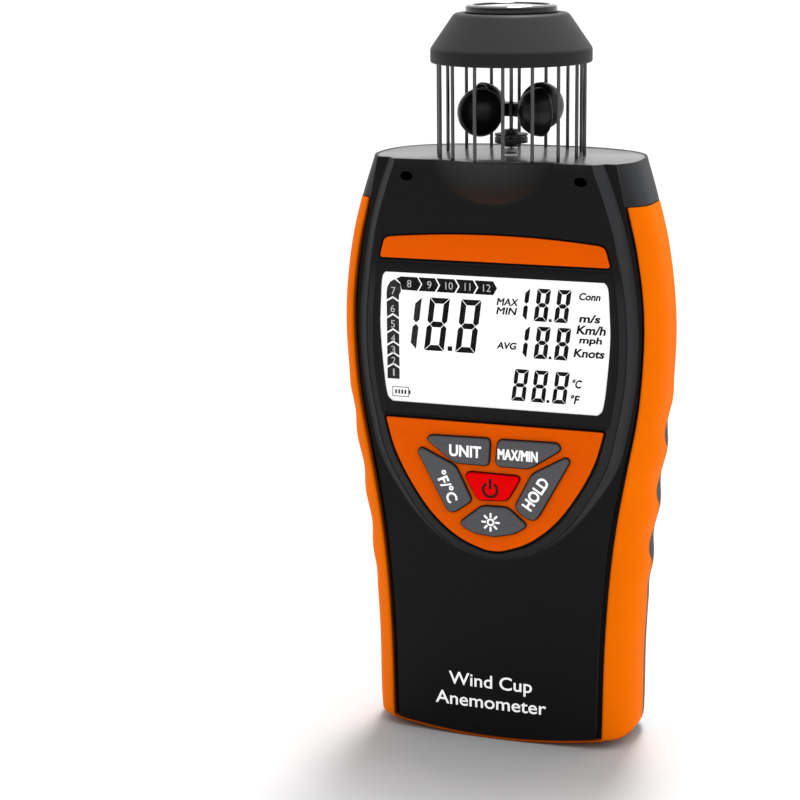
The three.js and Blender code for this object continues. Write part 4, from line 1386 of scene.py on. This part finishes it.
def make_keys():
    front = -KEY_FRONT_Y - plane_height(0)
    for name in KEYS:
        material, slot = (POWER, "power_key") if name == "key_power" else (KEY, "key_rubber")
        key = plate(name + "_cap", key_outline(name), front, KEY_BACK, bevel=0.6, steps=5)
        finish(key, material, body=name, nodes=[name], angle=50)
    level = front + 0.03
    for name, words, center, size, style in KEY_LABELS:
        place = dict(level=level, body="key_" + name, slot="key_rubber")
        lettering("label_" + name, words, center, size, LABEL, **style, **place)
    power_sign = [arc_band((-0.5, 68.2), 1.5, 2.25, 125, 415), box_outline(-0.88, 68.3, -0.12, 71.1)]
    ink("power_icon", power_sign, ICON, body="key_power", slot="power_key", level=level, thick=0.1)
    sun = backlight_sign((-0.4, 59.6))
    ink("backlight_icon", sun, LABEL, body="key_backlight", slot="key_rubber", level=level, thick=0.1)


def arc_band(center, inner, outer, start, end, steps=28):
    """A ring sector between two angles, in degrees."""
    angles = np.radians(np.linspace(start, end, steps))
    ring = np.stack([np.cos(angles), np.sin(angles)], 1)
    return np.concatenate([center + ring * outer, (center + ring * inner)[::-1]])


def make_case_text():
    """The two words low on the front, laid on its curved surface."""
    def on_front(x, height, z):
        return np.stack([x, -(front_height(x, z, np.full_like(x, -1.0)) + height), z], -1)

    style = dict(weight=0.008, level=0.04, slot="black_casing", place=on_front)
    lettering("case_text_wind", "Wind Cup", (-1.2, 15.1), (22.8, 4.7), LABEL, **style)
    lettering("case_text_anemometer", "Anemometer", (-1.2, 10.0), (30.4, 3.6), LABEL, **style)


# ---------------------------------------------------------------- cage, cap and compass


def make_cage():
    top = CAP_Z
    bottom = DECK_Z - 0.1
    for i in range(ROD_COUNT):
        angle = (i + 0.5) / ROD_COUNT * 2 * math.pi
        place = moved(CAGE_RADIUS * math.sin(angle), -CAGE_RADIUS * math.cos(angle), 0)
        path = [(0, bottom), (ROD_RADIUS, bottom), (ROD_RADIUS, top), (0, top)]
        turned(f"rod_{i + 1:02d}", path, 24, ROD, [f"cage_rod_{i + 1:02d}"], place=place)


def make_cap():
    seat = COMPASS_RADIUS + 0.25
    rim, low, high = CAP_RADIUS - 0.02, CAP_Z + 0.02, CAP_TOP_Z - 0.02
    bore, floor = 3.3, 183.4
    path = [
        (bore, low), (rim, low), (rim, CAP_Z + 3.5), (14.5, CAP_TOP_Z - 0.4), (13.6, high),
        (seat, high), (seat, floor), (bore, floor),
    ]
    outline = soft_profile(path + [path[0]], 0.6, 6)
    turned("cage_cap_shell", outline[:-1], 128, CAP, ["cage_cap"])
    inner, outer = 16.9, 17.5
    ring = [(inner, CAP_Z), (outer, CAP_Z), (outer, CAP_Z + 0.3), (inner, CAP_Z + 0.3), (inner, CAP_Z + 0.1)]
    turned("cap_groove_ring", soft_profile(ring, 0.05), 96, CAP)
    low, high = corner("upper_bearing", 0)[2] + 0.02, corner("upper_bearing", 1)[2]
    bush = [(0, high), (2.95, high), (2.95, low), (1.4, low), (0.95, 177.4), (0, 178.6)]
    turned("upper_bearing_bush", soft_profile(bush, 0.15), 48, BEARING, ["upper_bearing"])


def make_compass():
    """The bezel with its lens and pin, and the card that turns under the lens."""
    floor = corner("compass_bezel", 0)[2]
    radius, top = COMPASS_RADIUS, COMPASS_TOP_Z
    inner = 0.83 * radius
    under, shelf, well = 10.9, 187.35, 184.5
    path = [
        (0, floor), (under, floor), (under, shelf), (radius - 0.02, shelf), (radius - 0.02, top - 0.5),
        (radius - 0.6, top - 0.02), (inner + 0.2, top - 0.02), (inner, top - 0.3), (inner, well), (0, well),
    ]
    turned("compass_bezel_ring", soft_profile(path, 0.2), 128, BEZEL, ["compass_bezel"])
    low, high = 188.4, 189.25
    lens = [(0, low), (inner - 0.03, low), (inner - 0.03, high - 0.1), (inner * 0.6, high), (0, high)]
    turned("compass_lens_pane", soft_profile(lens, 0.1), 96, LENS, ["compass_lens"])
    pin = [(0, well + 0.1), (1.0, well + 0.1), (0.8, 185.3), (0.35, 185.6), (0, 186.5)]
    turned("compass_pivot_pin", pin, 32, BEARING, ["compass_pivot"])
    edge, hollow, cone = inner - 0.3, CARD_Z - 0.35, 186.35
    card = [
        (0, CARD_Z - 0.1), (0.5, cone), (1.1, cone), (1.1, hollow), (edge, hollow), (edge, CARD_Z),
        (0, CARD_Z),
    ]
    turned("compass_card_disc", card, 96, CARD, ["compass_card"], "compass_card")
    cap = [(0, 0), (2.63, 0), (2.63, 0.35), (2.2, 0.65), (0.6, 0.72), (0, 0.6)]
    cap = [(x, CARD_Z + z) for x, z in cap]
    turned("compass_card_cap", soft_profile(cap, 0.15), 64, MAGNET, (), "compass_card")
    dial_marks(inner - 0.4)


def dial_marks(radius):
    """Ticks, letters and the north arrow on the compass card, tops outward."""
    turned_by = math.radians(6)

    def on_card(x, height, y):
        return np.stack([x, y, np.full_like(x, CARD_Z + height)], -1)

    def spot(angle, distance):
        return distance * math.sin(angle - turned_by), distance * math.cos(angle - turned_by)

    ticks = []
    for i in range(1, 32):
        inner, outer, half = (0.85, 0.985, 0.4) if i % 4 == 0 else (0.88, 0.975, 0.12)
        along = np.array(spot(i * math.pi / 16, 1))
        across = np.array([along[1], -along[0]]) * half
        ticks.append(bar_outline(np.zeros(2), along * radius * inner, along * radius * outer, across))
    common = dict(body="compass_card", slot="compass_dial", place=on_card, thick=0.08)
    ink("compass_ticks", ticks, LABEL, level=0.05, **common)
    tip = np.array(spot(0, radius * 0.97))
    base = np.array(spot(0, radius * 0.76))
    across = np.array([base[1], -base[0]]) / np.linalg.norm(base) * 0.62
    ink("compass_arrow", [[base - across, tip, base + across]], NEEDLE, level=0.06, **common)
    for i, words in enumerate(["N", "NE", "E", "SE", "S", "SW", "W", "NW"]):
        angle = i * math.pi / 4
        distance, width, height = (0.53, 0.27, 0.31) if len(words) == 1 else (0.66, 0.28, 0.19)
        turn = -math.degrees(angle - turned_by)
        style = dict(angle=turn, level=0.05, weight=0.01, **common)
        size = (radius * width, radius * height)
        lettering(f"compass_{words}", words, spot(angle, radius * distance), size, LABEL, **style)


# ---------------------------------------------------------------- rotor


def rotor_piece(name, path, segments, material, node, place=None):
    """A turned piece that spins with the rotor."""
    turned(name, path, segments, material, [node], "rotor", place)


def make_spindle():
    low, high = corner("spindle", 0)[2], corner("spindle", 1)[2]
    tip, shaft, collar = 0.08, 0.48, 0.6
    path = [
        (0, low + 0.02), (tip, low + 0.15), (shaft, low + 1.8), (shaft, high - 2.4), (collar, high - 2.1),
        (collar, high - 1.7), (tip, high - 0.12), (0, high - 0.02),
    ]
    rotor_piece("spindle_shaft", path, 40, STEEL, "spindle")
    post = [(0, 0.5), (0.9, 1.43), (1.65, 1.43), (1.65, 0.5), (1.9, 0.4), (1.9, 0.02), (0, 0.02)]
    foot = corner("lower_bearing", 0)[2]
    post = soft_profile([(x, foot + z) for x, z in post], 0.12)
    turned("lower_bearing_post", post, 48, BEARING, ["lower_bearing"])


def cup_path():
    """A cup's section: half a circle outside, half a circle inside and a rounded lip."""
    outer = CUP_RADIUS
    inner = outer - CUP_WALL
    arcs = np.linspace(-math.pi / 2, 0, 26)
    path = [(outer * math.cos(a), outer * math.sin(a)) for a in arcs[:-1]]
    path += [(outer, -0.5), (outer - 0.02, -0.12), (outer - 0.15, 0), (inner + 0.12, 0), (inner, -0.15)]
    path += [(inner * math.cos(a), inner * math.sin(a)) for a in arcs[::-1][1:]]
    path[0] = (0, path[0][1])
    path[-1] = (0, path[-1][1])
    return path


def make_cups():
    turns = [Matrix.Rotation(math.pi / 4 + i * math.pi / 2, 4, "Z") for i in range(CUP_COUNT)]
    for number, turn in enumerate(turns, 1):
        place = turn @ moved(CUP_OFFSET, CUP_LEAD, HUB_Z) @ TOWARD_BACK
        rotor_piece(f"cup_{number}_bowl", cup_path(), 72, ROTOR, f"cup_{number}", place)
    bore, radius, half = 0.8, 2.08, 1.64
    core = soft_profile([(bore, -half), (radius, -half), (radius, half), (bore, half), (bore, 0)], 0.25)
    hub = [lathe("hub_core", core, 48, moved(0, 0, HUB_Z))]
    for turn in turns:
        outline = rounded(box_outline(1.5, -1.62, 3.95, 1.62), 0.3, 4)
        arm = plate("hub_arm", outline, 0.78, -0.78, bevel=0.18, place=upright)
        arm.data.transform(turn @ moved(0, 0, HUB_Z))
        hub.append(arm)
    finish(join("cup_hub_arms", hub), ROTOR, body="rotor", nodes=["cup_hub"])


def make_magnet():
    """A magnet ring between two dished carriers, low on the spindle."""
    foot = corner("magnet_carrier_lower", 0)[2] - 2
    bore, neck, rim = 0.78, 1.68, 4.18
    upper = [(bore, 4.77), (rim, 4.77), (rim, 5.28), (neck, 5.28), (neck, 6.38), (bore, 6.38), (bore, 5)]
    lower = [
        (bore, 2.02), (neck, 2.02), (neck, 3.02), (rim, 3.02), (rim, 4.43), (3.8, 4.43), (3.8, 3.42),
        (bore, 3.42), (bore, 2.5),
    ]
    ring = [(bore, 3.72), (3.48, 3.72), (3.48, 4.38), (bore, 4.38), (bore, 4)]
    for name, path, radius, material, slot, node in (
        ("magnet_dish_upper", upper, 0.12, ROTOR, "rotor_plastic", "magnet_carrier_upper"),
        ("magnet_dish_lower", lower, 0.12, ROTOR, "rotor_plastic", "magnet_carrier_lower"),
        ("magnet_ring_disc", ring, 0.1, MAGNET, "magnet_metal", "magnet_ring"),
    ):
        path = soft_profile([(x, foot + z) for x, z in path], radius)
        rotor_piece(name, path, 64, material, node)


# ---------------------------------------------------------------- inner parts, stage, camera and light

INNER_MATERIALS = {
    "lcd_backlight": BACKLIGHT, "keypad_mat": SILICONE, "main_pcb": CIRCUIT, "sensor_board": CIRCUIT,
    "thermistor": BEAD, "battery_1": CELL, "battery_2": CELL, "battery_contacts": SPRING,
}


def dress_inner_parts():
    """Parts inside the case keep their CAD shape and take a material."""
    for name, material in INNER_MATERIALS.items():
        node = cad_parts[name]
        node.data.materials.clear()
        node.data.materials.append(material)


def make_stage():
    """A wide pale floor."""
    reach = 60000
    corners = [(x, y, 0) for x, y in box_outline(-reach, -reach, reach, reach)]
    floor = new_object("floor", corners, [(0, 1, 2, 3)])
    white = moulded(
        "floor_white", linear(205, 205, 205), rough=0.9, grain=40, bump=0, mottle=0.004, edge=0, specular=0,
    )
    floor.data.materials.append(white)


def make_room():
    """A pale room, dimmer in front and brighter to the right."""
    world = bpy.data.worlds.new("studio")
    world.use_nodes = True
    tree = world.node_tree
    direction = add_node(tree, "TexCoord", output="Generated")
    front = mapped(tree, part_of(tree, direction, "Y"), -1, 0.1, FRONT_DIM, 1)
    side = mapped(tree, part_of(tree, direction, "X"), -1, 1, LEFT_LIGHT, RIGHT_LIGHT)
    strength = add_node(tree, "Math", {0: front, 1: side}, operation="MULTIPLY")
    background = tree.nodes["Background"]
    feed(tree, background.inputs["Color"], (1, 1, 1, 1))
    feed(tree, background.inputs["Strength"], strength)
    bpy.context.scene.world = world


def make_suns():
    """A tall soft light from behind, made of suns at several heights."""
    azimuth = math.radians(SUN_AZIMUTH)
    for number, degrees in enumerate(SUN_HEIGHTS, 1):
        height = math.radians(degrees)
        data = bpy.data.lights.new(f"soft_sun_{number}", "SUN")
        data.energy = SUN_POWER / len(SUN_HEIGHTS)
        data.angle = math.radians(SUN_ANGLE)
        sun = bpy.data.objects.new(f"soft_sun_{number}", data)
        flat = math.cos(height)
        toward = Vector((math.sin(azimuth) * flat, math.cos(azimuth) * flat, math.sin(height)))
        sun.rotation_euler = toward.to_track_quat("Z", "Y").to_euler()
        bpy.context.scene.collection.objects.link(sun)


def make_camera():
    """Turned to the right of the front, looking slightly down, with a small roll."""
    turn, down, roll = [math.radians(degrees) for degrees in CAMERA_TURN_DOWN_ROLL]
    flat = Vector((-math.sin(turn), math.cos(turn), 0))
    right = Vector((math.cos(turn), math.sin(turn), 0))
    ahead = flat * math.cos(down) - Vector((0, 0, math.sin(down)))
    up = flat * math.sin(down) + Vector((0, 0, math.cos(down)))
    side = right * math.cos(roll) - up * math.sin(roll)
    above = right * math.sin(roll) + up * math.cos(roll)
    data = bpy.data.cameras.new("camera")
    data.lens = CAMERA_LENS
    data.sensor_width = 36
    camera = bpy.data.objects.new("camera", data)
    camera.matrix_world = moved(*CAMERA_PLACE) @ Matrix((side, above, -ahead)).transposed().to_4x4()
    bpy.context.scene.collection.objects.link(camera)
    bpy.context.scene.camera = camera


make_front_casing()
make_grip_boot()
make_rear_casing()
make_battery_door()
for number in range(1, 5):
    cross_screw(f"case_screw_head_{number}", f"case_screw_{number}", "casing")
cross_screw("door_screw_head", "door_screw", "battery_door")
make_deck()
make_panels()
make_window()
make_display()
make_keys()
make_case_text()
make_cage()
make_cap()
make_compass()
make_spindle()
make_cups()
make_magnet()
dress_inner_parts()
make_stage()
make_room()
make_suns()
make_camera()
bpy.context.scene.view_settings.view_transform = "Standard"
